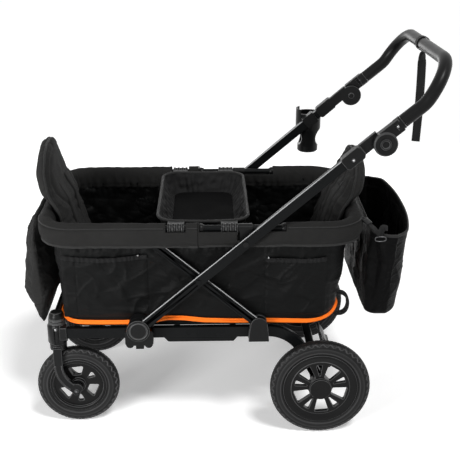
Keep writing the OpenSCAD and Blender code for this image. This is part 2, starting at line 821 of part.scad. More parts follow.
// Handlebar path: straight arms, a bend upwards, then the corners in the raised plane.
// A low band joins the two bends.
weld_w = 4;
weld_t = 0.1;

module bar_path(r_out, r_in, start) {
  translate([socket_x, 0, socket_z]) rotate([0, -bar_angle, 0]) {
    both_sides() {
      translate([start, -bar_y, 0]) rotate([90, 0, 90])
        linear_extrude(bar_straight - start) bar_ring(r_out, r_in);
      translate([bar_straight, -bar_y, bar_rise_r]) rotate([90, 0, 0]) rotate([0, 0, -90])
        rotate_extrude(angle = bar_turn, $fn = 96) translate([bar_rise_r, 0]) bar_ring(r_out, r_in);
    }
    translate([bar_straight, 0, bar_rise_r]) rotate([0, -bar_turn, 0]) translate([0, 0, -bar_rise_r]) {
      both_sides() {
        translate([0, -bar_y + bar_bend_r, 0]) rotate([0, 0, 270])
          rotate_extrude(angle = 90, $fn = 96) translate([bar_bend_r, 0]) bar_ring(r_out, r_in);
        translate([-weld_w / 2, -bar_y, 0]) rotate([90, 0, 90])
          linear_extrude(weld_w) bar_ring(r_out + weld_t, r_in - weld_t / 2);
      }
      translate([bar_bend_r, bar_y - bar_bend_r, 0]) rotate([90, 0, 0])
        linear_extrude(2 * bar_y - 2 * bar_bend_r) bar_ring(r_out, r_in);
    }
  }
}

module bar_ring(r_out, r_in) {
  difference() {
    circle(r_out);
    if (r_in > 0) circle(r_in);
  }
}

core_r = 10.8;

module handlebar_tube() {
  color(black_metal) placed() bar_path(core_r, 0, -18);
}

module handlebar_grip() {
  color(black_plastic) placed() bar_path(grip_r, core_r + 0.2, 12);
}

// Upper knuckles: dished outer half of the tilt hinge and the socket of the handlebar
button_r = 14.8;
disc_out = disc_split_y + 26;
arm_w = 38;

module upper_knuckles() {
  disc_in = disc_split_y + gap;
  color(black_plastic) placed() both_sides() difference() {
    union() {
      cross_rod(tilt_x, tilt_z, disc_out - 3, disc_in, disc_r);
      cross_rod(tilt_x, tilt_z, disc_out, disc_in, disc_r - 2.5);
      cross_rod(tilt_x, tilt_z, disc_in + 1, disc_split_y - 8.5, 8);
      slab(disc_out - 6, disc_in) translate([tilt_x, tilt_z]) rotate([0, 0, bar_angle])
        translate([4, bar_offset - arm_w / 2]) square([bar_start, arm_w]);
      slab(disc_out - 4, disc_in) translate([tilt_x, tilt_z]) rotate([0, 0, bar_angle])
        translate([bar_start - 7, bar_offset + 2]) circle(4.5);
      translate([socket_x, -bar_y, socket_z]) rotate([0, -bar_angle, 0])
        translate([-10, 0, 0]) rotate([0, 90, 0]) cylinder(h = 21.5, r = grip_r + 0.8);
    }
    translate([socket_x, -bar_y, socket_z]) rotate([0, -bar_angle, 0])
      translate([-18, 0, 0]) rotate([0, 90, 0]) cylinder(h = 60, r = core_r + 0.2);
    cross_rod(tilt_x, tilt_z, disc_out + 1, disc_out - 14, button_r + gap);
    translate([tilt_x, -disc_out, tilt_z]) rotate([90, 0, 0])
      rotate_extrude() polygon([[0, -3.5], [18, -3.5], [28.5, 0], [28.5, 1], [0, 1]]);
  }
}

// Wrist strap: a webbing loop round the grip, its tail hanging free
strap_y = 50;
strap_w = 26;

module wrist_strap() {
  color(black_cloth) placed() {
    difference() {
      cross_rod(hang_x, hang_z, -strap_y + strap_w / 2, -strap_y - strap_w / 2, grip_r + 3);
      cross_rod(hang_x, hang_z, -strap_y + strap_w, -strap_y - strap_w, grip_r + gap);
    }
    translate([hang_x - strap_w / 2, strap_y - 2.5, hang_z - 308]) cube([strap_w, 5, 288]);
  }
}

module tilt_button() {
  color(black_plastic) difference() {
    cross_rod(tilt_x, tilt_z, disc_out - 0.5, disc_out - 9, button_r);
    slab(disc_out, disc_out - 3) translate([tilt_x, tilt_z]) circle(10.5);
  }
}

module tilt_button_left() { placed() tilt_button(); }
module tilt_button_right() { placed() on_right() tilt_button(); }

// Fork: crown, stem, two curved blades with raised edges, and the wheel's axle
blade_in = front_tyre_w / 2 + 4;
blade_t = 12;
blade_w = 26;
blade_bend_r = 90;
blade_bend_z = 205;
blade_bend = 54;
blade_foot_x = caster_x + 1 + blade_bend_r * (1 - cos(blade_bend));
blade_foot_z = blade_bend_z - blade_bend_r * sin(blade_bend);
crown_low = 252;
blade_lean = 48;
foot_plate = 28;

module blade_arc(r, w, t) {
  translate([caster_x + 1 + blade_bend_r, 0, blade_bend_z]) rotate([90, 0, 0]) rotate([0, 0, 180])
    rotate_extrude(angle = blade_bend, $fn = 96) translate([r, 0]) square([w, t], center = true);
}

module blade() {
  foot_run = norm([front_axle_x - blade_foot_x, front_r - blade_foot_z]);
  foot_slope = atan2(front_r - blade_foot_z, front_axle_x - blade_foot_x);
  blade_arc(blade_bend_r, blade_w, blade_t);
  for (side = [-1, 1])
    translate([0, -1.5, 0]) blade_arc(blade_bend_r + side * (blade_w / 2 - 2), 4, blade_t + 3);
  translate([caster_x + 1 - blade_w / 2, -blade_t / 2, blade_bend_z])
    cube([blade_w, blade_t, housing_low_z - 8 - blade_bend_z]);
  rotate([90, 0, 0]) linear_extrude(blade_t, center = true) {
    translate([blade_foot_x, blade_foot_z]) rotate([0, 0, foot_slope])
      translate([0, -blade_w / 2]) square([foot_run, blade_w]);
    translate([front_axle_x, front_r]) circle(blade_w / 2 + 2);
    translate([blade_foot_x, blade_foot_z]) rotate([0, 0, -blade_lean]) translate([0, -blade_w / 2])
      polygon([[0, 0], [foot_plate, 0], [foot_plate + 7, blade_w / 2], [foot_plate, blade_w], [0, blade_w]]);
  }
  translate([blade_foot_x, 0, blade_foot_z]) rotate([0, blade_lean, 0]) translate([foot_plate - 8, 0, 0])
    rotate([90, 0, 0]) cylinder(h = blade_t / 2 + 3, r = 6);
}

module fork() {
  color(black_plastic) {
    translate([caster_x, -front_half_track, crown_low]) cylinder(h = housing_low_z - gap - crown_low, r = 26);
    translate([caster_x, -front_half_track, crown_low]) cylinder(h = 92, r = stem_r);
    translate([caster_x + 1 - blade_w / 2, -front_half_track - blade_in - blade_t, crown_low])
      cube([blade_w, 2 * (blade_in + blade_t), housing_low_z - 8 - crown_low]);
    translate([0, -front_half_track - blade_in - blade_t / 2, 0]) blade();
    translate([0, -front_half_track + blade_in + blade_t / 2, 0]) mirror([0, 1, 0]) blade();
    cross_rod(front_axle_x, front_r, front_half_track + blade_in + blade_t - 2,
      front_half_track - blade_in - blade_t + 2, front_bore_r);
  }
}

module fork_left() { placed() fork(); }
module fork_right() { placed() on_right() fork(); }

// Tyre section: wide shoulders, a low crown with grooves, and sidewall rings
module tyre_shape(r, w, depth) {
  difference() {
    union() {
      translate([r - depth, -w / 2 + 6]) square([depth - 10, w - 12]);
      intersection() {
        translate([r - w * 0.62, 0]) circle(w * 0.62);
        translate([r - depth, -w / 2]) square([depth, w]);
      }
      for (side = [-1, 1])
        translate([r - depth * 0.55, side * (w / 2 - 5)]) circle(5);
    }
    for (side = [-1, 1]) {
      translate([r, side * w * 0.2]) square([5, 3], center = true);
      translate([r - depth * 0.72, side * w / 2]) square([2.5, 3], center = true);
    }
  }
}

module wheel_place(x, r, y) {
  translate([x, -y, r]) rotate([90, 0, 0]) children();
}

front_tyre_depth = 39;
rear_tyre_depth = 39;

module front_tyre() {
  color(tyre_black) wheel_place(front_axle_x, front_r, front_half_track)
    rotate_extrude($fn = 128) tyre_shape(front_r, front_tyre_w, front_tyre_depth);
}

module front_tyre_left() { placed() front_tyre(); }
module front_tyre_right() { placed() on_right() front_tyre(); }

// Window with round corners, each turned in a few short straight steps; corners run anticlockwise
module window(corners, radii) {
  n = len(corners);
  steps = 4;
  polygon([for (i = [0:n - 1])
    let (p = corners[i], before = corners[(i + n - 1) % n], after = corners[(i + 1) % n],
      from = atan2(p[1] - before[1], p[0] - before[0]) - 90,
      turn = (atan2(after[1] - p[1], after[0] - p[0]) - 90 - from + 720) % 360)
    for (k = [0:steps])
      p + radii[i] * [cos(from + turn * k / steps), sin(from + turn * k / steps)]]);
}

// Front wheel: rim ring, hub and three broad spokes, each with a small window
module front_wheel() {
  seat_r = front_r - front_tyre_depth - gap;
  color(black_plastic) wheel_place(front_axle_x, front_r, front_half_track) difference() {
    union() {
      rotate_extrude($fn = 128) translate([seat_r - 10, -front_tyre_w / 2 + 3])
        square([10, front_tyre_w - 6]);
      translate([0, 0, -front_tyre_w / 2]) cylinder(h = front_tyre_w, r = 22);
      translate([0, 0, -6]) linear_extrude(14) difference() {
        circle(seat_r - 6, $fn = 128);
        for (k = [0:2]) {
          rotate(36 + 120 * k)
            window([[40, 0], [seat_r - 32, -5], [seat_r - 32, 5]], [3, 4, 4]);
          rotate(-24 + 120 * k)
            window([[36, -10], [seat_r - 32, -18], [seat_r - 32, 18], [36, 10]], [4, 4, 4, 4]);
        }
      }
    }
    translate([0, 0, -60]) cylinder(h = 120, r = front_bore_r + run_gap);
  }
}

module front_wheel_left() { placed() front_wheel(); }
module front_wheel_right() { placed() on_right() front_wheel(); }

module rear_tyre() {
  color(tyre_black) wheel_place(rear_axle_x, rear_r, rear_half_track)
    rotate_extrude($fn = 128) tyre_shape(rear_r, rear_tyre_w, rear_tyre_depth);
}

module rear_tyre_left() { placed() rear_tyre(); }
module rear_tyre_right() { placed() on_right() rear_tyre(); }

// Rear wheel: deep rim ring, round hub cap and pairs of spokes that part towards the rim
module rear_wheel() {
  seat_r = rear_r - rear_tyre_depth - gap;
  half = rear_tyre_w / 2;
  color(black_plastic) wheel_place(rear_axle_x, rear_r, rear_half_track) difference() {
    union() {
      rotate_extrude($fn = 128) polygon([
        [seat_r, -half + 4], [seat_r, half - 2], [seat_r - 8, half - 2],
        [seat_r - 28, half - 9], [seat_r - 28, half - 20], [seat_r - 12, -half + 4]
      ]);
      translate([0, 0, -half + 2]) cylinder(h = 2 * half + 1, r = 33);
      translate([0, 0, half - 20]) linear_extrude(14) difference() {
        circle(seat_r - 24, $fn = 128);
        for (k = [0:4]) {
          rotate(22 + 72 * k)
            window([[44, 0], [seat_r - 37, -6], [seat_r - 37, 6]], [2, 3, 3]);
          rotate(58 + 72 * k)
            window([[42, -6], [seat_r - 37, -17], [seat_r - 37, 17], [42, 6]], [6, 4, 4, 6]);
        }
      }
    }
    translate([0, 0, -60]) cylinder(h = 60 + half - 4, r = rear_bore_r + run_gap);
  }
}

module rear_wheel_left() { placed() rear_wheel(); }
module rear_wheel_right() { placed() on_right() rear_wheel(); }

// Foot brake: a bar across the axle with a pedal in the middle
module brake_bar() {
  color(black_metal) placed() {
    cross_rod(brake_x, brake_z, 226, -226, 6);
    slab(50, -50) translate([brake_x, brake_z]) rotate([0, 0, -8]) {
      translate([0, -5]) square([66, 10]);
      circle(11);
      translate([66, 0]) circle(5);
    }
    both_sides() slab(226, 216) translate([brake_x, brake_z]) circle(13);
  }
}

// Seat backs lean outwards inside the rim; a bead along the foot is the fold line
back_foot_z = 408;
back_rim_z = rim_z;
front_lean = 14;
rear_lean = 17;
front_back_x = rim_front_x + 38;
rear_back_x = rim_rear_x - 38;
front_hinge_x = front_back_x + (back_rim_z - back_foot_z) * tan(front_lean);
rear_hinge_x = rear_back_x - (back_rim_z - back_foot_z) * tan(rear_lean);
bead_r = 7;

module seat_back(run, way, pitch, swell) {
  rotate([90, 0, 90]) {
    translate([0, run / 2 + 4, 0]) soft_pad(292, run - 8, 15, 13, 2.5, 7, pitch, way, 5, swell);
  }
  translate([0, 130, 0]) rotate([90, 0, 0]) cylinder(h = 260, r = bead_r);
  translate([-4, -120, 0]) cube([8, 240, 24]);
}

module seat_back_front() {
  run = (front_back_top_z - back_foot_z) / cos(front_lean);
  color(black_cloth) placed() translate([front_hinge_x, 0, back_foot_z]) rotate([0, -front_lean, 0])
    seat_back(run, 2, 130, 3);
}

module seat_back_rear() {
  run = (rear_back_top_z - back_foot_z) / cos(rear_lean);
  color(black_cloth) placed() translate([rear_hinge_x, 0, back_foot_z]) rotate([0, rear_lean, 0])
    mirror([1, 0, 0]) seat_back(run, 1, 48, 12);
}

// Shoulder straps of the harnesses, with a pad on each, just off the seat backs
module harness(run) {
  both_sides() translate([16, -62, run * 0.34]) {
    cube([3, 24, run * 0.46]);
    translate([-0.5, -8, run * 0.1]) cube([9, 40, run * 0.3]);
  }
}

module harness_front() {
  run = (front_back_top_z - back_foot_z) / cos(front_lean);
  color(black_cloth) placed() translate([front_hinge_x, 0, back_foot_z]) rotate([0, -front_lean, 0])
    harness(run);
}

module harness_rear() {
  run = (rear_back_top_z - back_foot_z) / cos(rear_lean);
  color(black_cloth) placed() translate([rear_hinge_x, 0, back_foot_z]) rotate([0, rear_lean, 0])
    mirror([1, 0, 0]) harness(run);
}

rail_left();
rail_right();
front_crossbar();
middle_crossbars();
caster_housing_left();
caster_housing_right();
leg_brackets();
under_rail_bars();
rear_axle();
rear_struts();
rear_loops();
floor_board();
basket();
basket_piping();
seat_cushion_front();
seat_cushion_rear();
cross_leg_left();
cross_leg_right();
cross_pins();
push_tube_left();
push_tube_right();
push_hubs();
lower_knuckles();
cup_holder();
rim_tube();
rim_cover_front();
rim_cover_rear();
rim_pivots();
tote_bag();
boot_bag();
tray();
tray_clips();
carriage_left();
carriage_right();
release_tab_left();
release_tab_right();
rim_shoes();
handlebar_tube();
handlebar_grip();
upper_knuckles();
wrist_strap();
tilt_button_left();
tilt_button_right();
fork_left();
fork_right();
front_wheel_left();
front_wheel_right();
front_tyre_left();
front_tyre_right();
rear_wheel_left();
rear_wheel_right();
rear_tyre_left();
rear_tyre_right();
brake_bar();
seat_back_front();
seat_back_rear();
harness_front();
harness_rear();
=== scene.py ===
import math

import bpy
import numpy as np
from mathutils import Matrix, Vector


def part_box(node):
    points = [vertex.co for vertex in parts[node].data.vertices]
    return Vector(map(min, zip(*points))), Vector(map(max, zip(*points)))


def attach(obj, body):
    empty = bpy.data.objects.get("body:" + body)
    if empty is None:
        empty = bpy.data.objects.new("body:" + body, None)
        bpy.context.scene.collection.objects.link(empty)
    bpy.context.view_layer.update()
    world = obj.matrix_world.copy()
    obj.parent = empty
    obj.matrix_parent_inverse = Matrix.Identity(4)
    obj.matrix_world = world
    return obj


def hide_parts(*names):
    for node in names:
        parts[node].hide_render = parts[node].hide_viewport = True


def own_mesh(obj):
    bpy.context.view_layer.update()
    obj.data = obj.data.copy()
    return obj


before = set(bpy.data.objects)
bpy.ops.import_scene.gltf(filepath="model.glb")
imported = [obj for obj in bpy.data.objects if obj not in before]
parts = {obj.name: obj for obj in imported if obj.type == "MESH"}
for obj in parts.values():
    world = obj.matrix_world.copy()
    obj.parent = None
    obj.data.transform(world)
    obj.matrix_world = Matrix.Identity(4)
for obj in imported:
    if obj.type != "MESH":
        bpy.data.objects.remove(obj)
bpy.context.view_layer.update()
scene = bpy.context.scene
scene.view_settings.view_transform = "Standard"

# Heights in millimetres: the basket's underside, the level it folds down to and the rim tube; the rim's half width
BASKET_UNDER, FOLD_LEVEL, RIM_Z, RIM_Y = 334, 342, 658, 279
SIDES = ((-1, "left"), (1, "right"))

# The wagon's own middle in the shared frame: its rim tube runs from x = -452 to 485 mm, even about y = 0
rim_low, rim_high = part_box("rim_tube")
MIDDLE = np.array([(rim_low.x + rim_high.x) / 2 - 0.0165, (rim_low.y + rim_high.y) / 2, 0.0])


def at(points):
    """Wagon millimetres to metres in the shared frame."""
    return np.asarray(points, float) * 0.001 + MIDDLE


def wagon_mm(points):
    """Metres in the shared frame to wagon millimetres."""
    return (np.asarray(points, float) - MIDDLE) * 1000


# Camera: the photograph's viewpoint
def photo_camera():
    """A pinhole 2.7 m to the left and 1.57 m up, 20.7 degrees down, 899 pixels of focal length on 460."""
    data = bpy.data.cameras.new("photo_camera")
    data.sensor_width = 36
    data.lens = 36 * 899 / 460
    camera = bpy.data.objects.new("photo_camera", data)
    scene.collection.objects.link(camera)
    down, yaw = math.radians(20.704), math.radians(-1.477)
    ahead = Vector((-math.sin(yaw) * math.cos(down), math.cos(yaw) * math.cos(down), -math.sin(down)))
    camera.location = at((38.3, -2698.7, 1567.5))
    camera.rotation_euler = ahead.to_track_quat("-Z", "Y").to_euler()
    data.clip_end = 200
    scene.camera = camera


photo_camera()


# Shader arithmetic
class Val:
    """One output socket of a finish. Operators on it add Math nodes, and 1 - mask works too."""

    def __init__(self, finish, socket):
        self.finish, self.socket = finish, socket

    def math(self, operation, *others):
        values = dict(enumerate((self, *others)))
        return self.finish.node("ShaderNodeMath", {"operation": operation}, values)

    def __add__(self, other):
        return self.math("ADD", other)

    __radd__ = __add__

    def __mul__(self, other):
        return self.math("MULTIPLY", other)

    __rmul__ = __mul__

    def __sub__(self, other):
        return self.math("SUBTRACT", other)

    def __rsub__(self, other):
        return (self * -1) + other


class Finish:
    """A node material: one Principled shader, whose constants sit on its own sockets."""

    def __init__(self, name, **constants):
        self.material = bpy.data.materials.new(name)
        self.material.use_nodes = True
        self.tree = self.material.node_tree
        self.shader = self.tree.nodes["Principled BSDF"]
        for key, value in constants.items():
            self.shader.inputs[key.replace("_", " ")].default_value = value

    def node(self, kind, settings=None, inputs=None, out=0):
        """Any node: settings are set first, a ramp's stops among them, then the inputs' values or links."""
        made = self.tree.nodes.new(kind)
        for key, value in (settings or {}).items():
            if key == "stops":
                ramp = made.color_ramp.elements
                for k, (where, tone) in enumerate(value):
                    stop = ramp[k] if k < 2 else ramp.new(where)
                    stop.position, stop.color = where, tone
            else:
                setattr(made, key, value)
        for key, value in (inputs or {}).items():
            if isinstance(value, Val):
                self.tree.links.new(value.socket, made.inputs[key])
            else:
                made.inputs[key].default_value = value
        return Val(self, made.outputs[out])

    def feed(self, socket, value):
        self.tree.links.new(value.socket, self.shader.inputs[socket])

    def axes(self, kind="Object"):
        """A texture coordinate and its X, Y and Z: the object's own or its UV map, both in metres, or its normal."""
        where = self.node("ShaderNodeTexCoord", out=kind)
        split = self.tree.nodes.new("ShaderNodeSeparateXYZ")
        self.tree.links.new(where.socket, split.inputs[0])
        return where, [Val(self, s) for s in split.outputs]

    def noise(self, where, scale, detail=4.0, rough=0.55):
        values = {"Vector": where, "Scale": scale, "Detail": detail, "Roughness": rough}
        return self.node("ShaderNodeTexNoise", {}, values)

    def between(self, mask, low, high):
        """Colour that runs from low, which may be a socket, to high with a mask."""
        pair = {"Factor": mask, 6: low if isinstance(low, Val) else (*low, 1), 7: (*high, 1)}
        return self.node("ShaderNodeMix", {"data_type": "RGBA"}, pair, out=2)

    def bump(self, height, strength, depth):
        normal = self.node("ShaderNodeBump", {}, {"Height": height, "Strength": strength, "Distance": depth})
        self.feed("Normal", normal)


def cloth(name, dark, light, pitch, uv, rough, bump, gloss, slub=0.3, crumple=0.0):
    """Woven cloth: crossing threads as the product of two sines, uneven yarn, a faint mottle of colour and, where it
    hangs slack, creases along the middle lines of a broad noise."""
    f = Finish(name, Roughness=rough, Sheen_Weight=0.02, Sheen_Roughness=0.45, Specular_IOR_Level=gloss)
    where, (x, y, z) = f.axes("UV" if uv else "Object")
    a, b = (x, y) if uv else (y, z + x * 0.7)
    turn = 2 * math.pi / pitch
    threads = (a * turn).math("SINE") * (b * turn).math("SINE")
    mottle = f.noise(where, 38.0)
    broad = f.noise(where, 5.0, 2.0)
    yarn = f.noise(where, 700.0, 2.0)
    f.feed("Base Color", f.between((mottle * 0.45 + broad * 0.55) + threads * 0.08, dark, light))
    f.feed("Roughness", mottle * 0.16 + (rough - 0.08))
    height = threads + yarn * slub + mottle * 1.4
    if crumple:
        height = height - (f.noise(where, 7.0, 3.0) * 2 - 1).math("ABSOLUTE") * crumple
    f.bump(height, bump, 0.0006)
    return f.material


def webbing(name, dark, light, pitch=0.0022):
    """Narrow woven tape: ribs across it in a herringbone, from its own UV map."""
    f = Finish(name, Roughness=0.6, Sheen_Weight=0.02, Specular_IOR_Level=0.14)
    where, (x, y, _) = f.axes("UV")
    turn = 2 * math.pi / pitch
    chevron = ((x * 160).math("PINGPONG", 1.0) * 0.003 + y) * turn
    ribs = chevron.math("SINE")
    f.feed("Base Color", f.between(ribs * 0.3 + f.noise(where, 60.0) * 0.7, dark, light))
    f.bump(ribs, 0.6, 0.0005)
    return f.material


def moulded(name, dark, light, rough, gloss=0.2, grain=1400.0, bump=0.12):
    """Moulded plastic: spark-eroded grain, with smoother, paler patches where hands and straps rub."""
    f = Finish(name, Roughness=rough, Specular_IOR_Level=gloss)
    where, _ = f.axes()
    rub = f.noise(where, 14.0, 3.0)
    fine = f.noise(where, grain, 2.0)
    f.feed("Base Color", f.between(rub, dark, light))
    f.feed("Roughness", rub * -0.16 + (rough + 0.08))
    f.bump(fine, bump, 0.0003)
    return f.material


def coated(name, dark, light, rough, edge_highlight=None):
    """Powder-coated tube: orange-peel and a slight drift in gloss. Where an edge highlight colour is given, faces that
    point up are painted towards it: a painted highlight.
    """
    f = Finish(name, Roughness=rough, Specular_IOR_Level=0.06, Coat_Weight=0.04, Coat_Roughness=0.15)
    where, _ = f.axes()
    peel = f.noise(where, 650.0, 2.0)
    drift = f.noise(where, 9.0, 3.0)
    tone = f.between(drift, dark, light)
    # Painted highlight: faces that point up are painted pale, standing in for light from above
    if edge_highlight:
        _, (_, _, z) = f.axes("Normal")
        upper = f.node("ShaderNodeMapRange", {}, {"Value": z, "From Min": 0.1, "From Max": 0.4})
        tone = f.between(upper * (drift * 0.6 + 0.6), tone, edge_highlight)
    f.feed("Base Color", tone)
    f.feed("Roughness", drift * 0.12 + (rough - 0.06))
    f.bump(peel, 0.08, 0.0003)
    return f.material


def rubber(name, dark, light):
    """Tyre rubber: matt, with a fine crumb and a random dusty mottle, and painted highlights along the tread's and
    sidewall's lines from an attribute.
    """
    f = Finish(name, Roughness=0.6, Specular_IOR_Level=0.14)
    where, _ = f.axes()
    dust = f.noise(where, 26.0, 5.0)
    crumb = f.noise(where, 900.0, 3.0)
    # Painted highlight: the lines that the tyre marks are painted towards the pale tone
    painted_tread_highlight = f.node("ShaderNodeAttribute", {"attribute_name": "painted_tread_highlight"}, out="Fac")
    f.feed("Base Color", f.between(dust * 0.16 + painted_tread_highlight * 1.2, dark, light))
    f.feed("Roughness", dust * 0.2 + 0.36)
    f.bump(crumb + dust * 0.5, 0.2, 0.0004)
    return f.material


def plated(name, tone, rough):
    """Plated steel with fine rub marks."""
    f = Finish(name, Base_Color=(*tone, 1), Metallic=1.0, Roughness=rough)
    where, _ = f.axes()
    f.feed("Roughness", f.noise(where, 220.0, 3.0) * 0.2 + (rough - 0.1))
    return f.material


def braided(name, dark, light):
    """Bright piping cord: a twisted cover from its own UV map, slightly soiled."""
    f = Finish(name, Roughness=0.62, Specular_IOR_Level=0.2)
    where, (x, y, _) = f.axes("UV")
    twist = (x * 2500 + y * 2100).math("SINE")
    soil = f.noise(where, 55.0)
    f.feed("Base Color", f.between(soil * 0.7 + twist * 0.15 + 0.15, dark, light))
    f.bump(twist, 0.35, 0.0005)
    return f.material


RIM_CLOTH = cloth("rim_cloth", (0.010, 0.0099, 0.0097), (0.024, 0.0238, 0.0233), 0.0011, True, 0.85, 0.30, 0.06)
WALL_CLOTH = cloth("wall_cloth", (0.0012, 0.0013, 0.0013), (0.0036, 0.0038, 0.0038), 0.0009, True, 0.38, 0.25, 0.08,
                   crumple=34.0)
BAG_CLOTH = cloth("bag_cloth", (0.0014, 0.0014, 0.0015), (0.004, 0.004, 0.0041), 0.0011, True, 0.42, 0.28, 0.035,
                  crumple=18.0)
PAD_CLOTH = cloth("pad_cloth", (0.015, 0.0149, 0.0146), (0.031, 0.0307, 0.0303), 0.0012, False, 0.8, 0.28, 0.05)
TRAY_CLOTH = cloth("tray_cloth", (0.009, 0.009, 0.0091), (0.02, 0.02, 0.0203), 0.001, True, 0.55, 0.25, 0.05)
TAPE = webbing("black_tape", (0.004, 0.004, 0.0041), (0.012, 0.012, 0.0123))
BINDING = webbing("edge_binding", (0.015, 0.015, 0.0148), (0.036, 0.036, 0.0355), 0.0014)
PIPING = braided("orange_cord", (0.82, 0.13, 0.006), (1.0, 0.21, 0.012))
PLASTIC = moulded("black_plastic", (0.003, 0.0031, 0.0032), (0.008, 0.0082, 0.0084), 0.3, 0.13)
WHEEL_PLASTIC = moulded("wheel_plastic", (0.0025, 0.0025, 0.0026), (0.006, 0.006, 0.0061), 0.3, 0.13, 900.0, 0.1)
TUBE = coated("black_tube", (0.0025, 0.0028, 0.003), (0.006, 0.0065, 0.0068), 0.28)
GRIP = moulded("grip_foam", (0.003, 0.003, 0.0031), (0.008, 0.008, 0.0081), 0.34, 0.12, 1100.0, 0.15)
TYRE = rubber("tyre_rubber", (0.0035, 0.0035, 0.0036), (0.048, 0.048, 0.0487))
BASE_PANEL = moulded("tray_base", (0.003, 0.003, 0.0031), (0.006, 0.006, 0.0061), 0.7, 0.02, 500.0, 0.15)
# Paler copies of the tube and plastic finishes for bevelled edges: painted highlights along the edges
TUBE_EDGE_HIGHLIGHT = coated("tube_edge_painted_highlight", (0.0025, 0.0028, 0.003), (0.006, 0.0065, 0.0068), 0.4, (0.5, 0.505, 0.51))
PLASTIC_EDGE_HIGHLIGHT = moulded("plastic_edge_painted_highlight", (0.03, 0.0305, 0.031), (0.1, 0.1005, 0.101), 0.34, 0.13)
STEEL = plated("steel", (0.34, 0.34, 0.345), 0.3)
DARK_STEEL = plated("dark_steel", (0.1, 0.1, 0.103), 0.35)


def both(*stems):
    """The left and the right node of each stem."""
    return [f"{stem}_{word}" for stem in stems for _, word in SIDES]


def wear(material, *names):
    """Gives a carried-over CAD node its finish."""
    for name in names:
        slots = parts[name].data.materials
        slots.clear()
        slots.append(material)


# Surfaces
def through(points, count, closed=False):
    """Points along the smooth curve through the given ones: a cubic on each span, Catmull-Rom slopes."""
    p = np.asarray(points, float)
    n = len(p)
    t = np.arange(count) / count * n if closed else np.linspace(0, n - 1, count)
    i = np.minimum(t.astype(int), n - 1 if closed else n - 2)
    f = (t - i)[:, None]
    a, b, c, d = (p[(i + k) % n] if closed else p[np.clip(i + k, 0, n - 1)] for k in (-1, 0, 1, 2))
    return 0.5 * (2 * b + (c - a) * f + (2 * a - 5 * b + 4 * c - d) * f**2 + (3 * b - a - 3 * c + d) * f**3)


def waves(a, b, size, seed, count=7):
    """An uneven smooth field, about -1 to 1: sines of about one size along seeded directions, added up."""
    rng = np.random.default_rng(seed)
    way = rng.uniform(0, 2 * np.pi, count)
    pace = 2 * np.pi / size * rng.uniform(0.6, 1.5, count)
    lag = rng.uniform(0, 2 * np.pi, count)
    a, b = np.broadcast_arrays(np.asarray(a, float), np.asarray(b, float))
    field = np.sin(a[..., None] * pace * np.cos(way) + b[..., None] * pace * np.sin(way) + lag)
    return field.sum(-1) / np.sqrt(count)


def creases(a, b, size, seed, sharp=4):
    """Thin raised folds along the zero lines of an uneven field."""
    return np.clip(1 - np.abs(waves(a, b, size, seed)), 0, 1) ** sharp


def dip(distance, width):
    """A bell of height 1 about zero distance."""
    return np.exp(-((distance / width) ** 2))


def step(low, high, value):
    """0 below low, 1 above high, a smooth cubic between."""
    t = np.clip((value - low) / (high - low), 0, 1)
    return t * t * (3 - 2 * t)


def arch(t, power=1.0):
    """A half sine over 0 to 1, raised to a power: 0 at both ends and beyond, 1 in the middle."""
    return np.sin(np.pi * np.clip(t, 0, 1)) ** power


def ridge(x, z, start, end, high, wide, lead):
    """A rounded fold along a straight line: a bell across it, by the distance from its nearest point, and an arch along
    it that begins a little way up, by lead."""
    (ax, az), (bx, bz) = start, end
    run = np.hypot(bx - ax, bz - az)
    along = ((x - ax) * (bx - ax) + (z - az) * (bz - az)) / run**2
    across = ((x - ax) * (bz - az) - (z - az) * (bx - ax)) / run
    nearest = np.clip(along, 0, 1)
    return high * dip(np.hypot(across, run * (along - nearest)), wide) * arch(nearest * 0.9 + lead, 0.6)


def bent(v, n):
    """A power that keeps the sign."""
    return np.sign(v) * np.abs(v) ** n


def angles(count):
    """Even steps once round a circle."""
    return np.arange(count) / count * 2 * np.pi


def raised(level, z):
    """Level points (x, y) with their heights."""
    z = np.asarray(z, float)[..., None]
    return np.concatenate([level, np.broadcast_to(z, (*level.shape[:-1], 1))], -1)


def round_box(half_x, half_y, corner, share):
    """Rectangles with round corners: points at shares of the way round, from the middle of +X towards +Y."""
    hx, hy, r = (np.asarray(v, float)[..., None] for v in (half_x, half_y, corner))
    quarter = hx + hy - 2 * r + np.pi * r / 2
    s = (np.asarray(share) % 1.0) * 4
    k = np.floor(s)
    run = np.where(k % 2 == 0, s - k, 1 - (s - k)) * quarter
    bend = np.clip((run - (hy - r)) / r, 0, np.pi / 2)
    x = hx - r + r * np.cos(bend) - np.clip(run - (hy - r) - np.pi * r / 2, 0, None)
    y = np.minimum(run, hy - r) + r * np.sin(bend)
    return np.stack([x * np.where((k == 1) | (k == 2), -1, 1), y * np.where(k >= 2, -1, 1)], -1)


def unit(v):
    return v / np.maximum(np.linalg.norm(v, axis=-1, keepdims=True), 1e-12)


def outward(ring):
    """Level normals of rings that run anticlockwise seen from above."""
    t = unit(np.roll(ring, -1, axis=-2) - np.roll(ring, 1, axis=-2))
    return np.stack([t[..., 1], -t[..., 0]], -1)


def sweep(path, profile, up=(0, 0, 1), closed=False):
    """A profile of (across, lift) carried along a path, square to it; up keeps it from turning."""
    ahead = np.roll(path, -1, 0) - np.roll(path, 1, 0) if closed else np.gradient(path, axis=0)
    ahead = unit(ahead)
    side = unit(np.cross(ahead, np.asarray(up, float)))
    lift = np.cross(side, ahead)
    p = np.asarray(profile, float)
    return path[:, None] + p[..., :1] * side[:, None] + p[..., 1:2] * lift[:, None]


def circle(r, count):
    a = angles(count)
    return np.stack([r * np.cos(a), r * np.sin(a)], -1)


def flat_oval(width, thick, count=20):
    """Section of a tape: a superellipse, nearly square, of that width and thickness."""
    a = angles(count)
    return np.stack([width / 2 * bent(np.cos(a), 0.35), thick / 2 * bent(np.sin(a), 0.6)], -1)


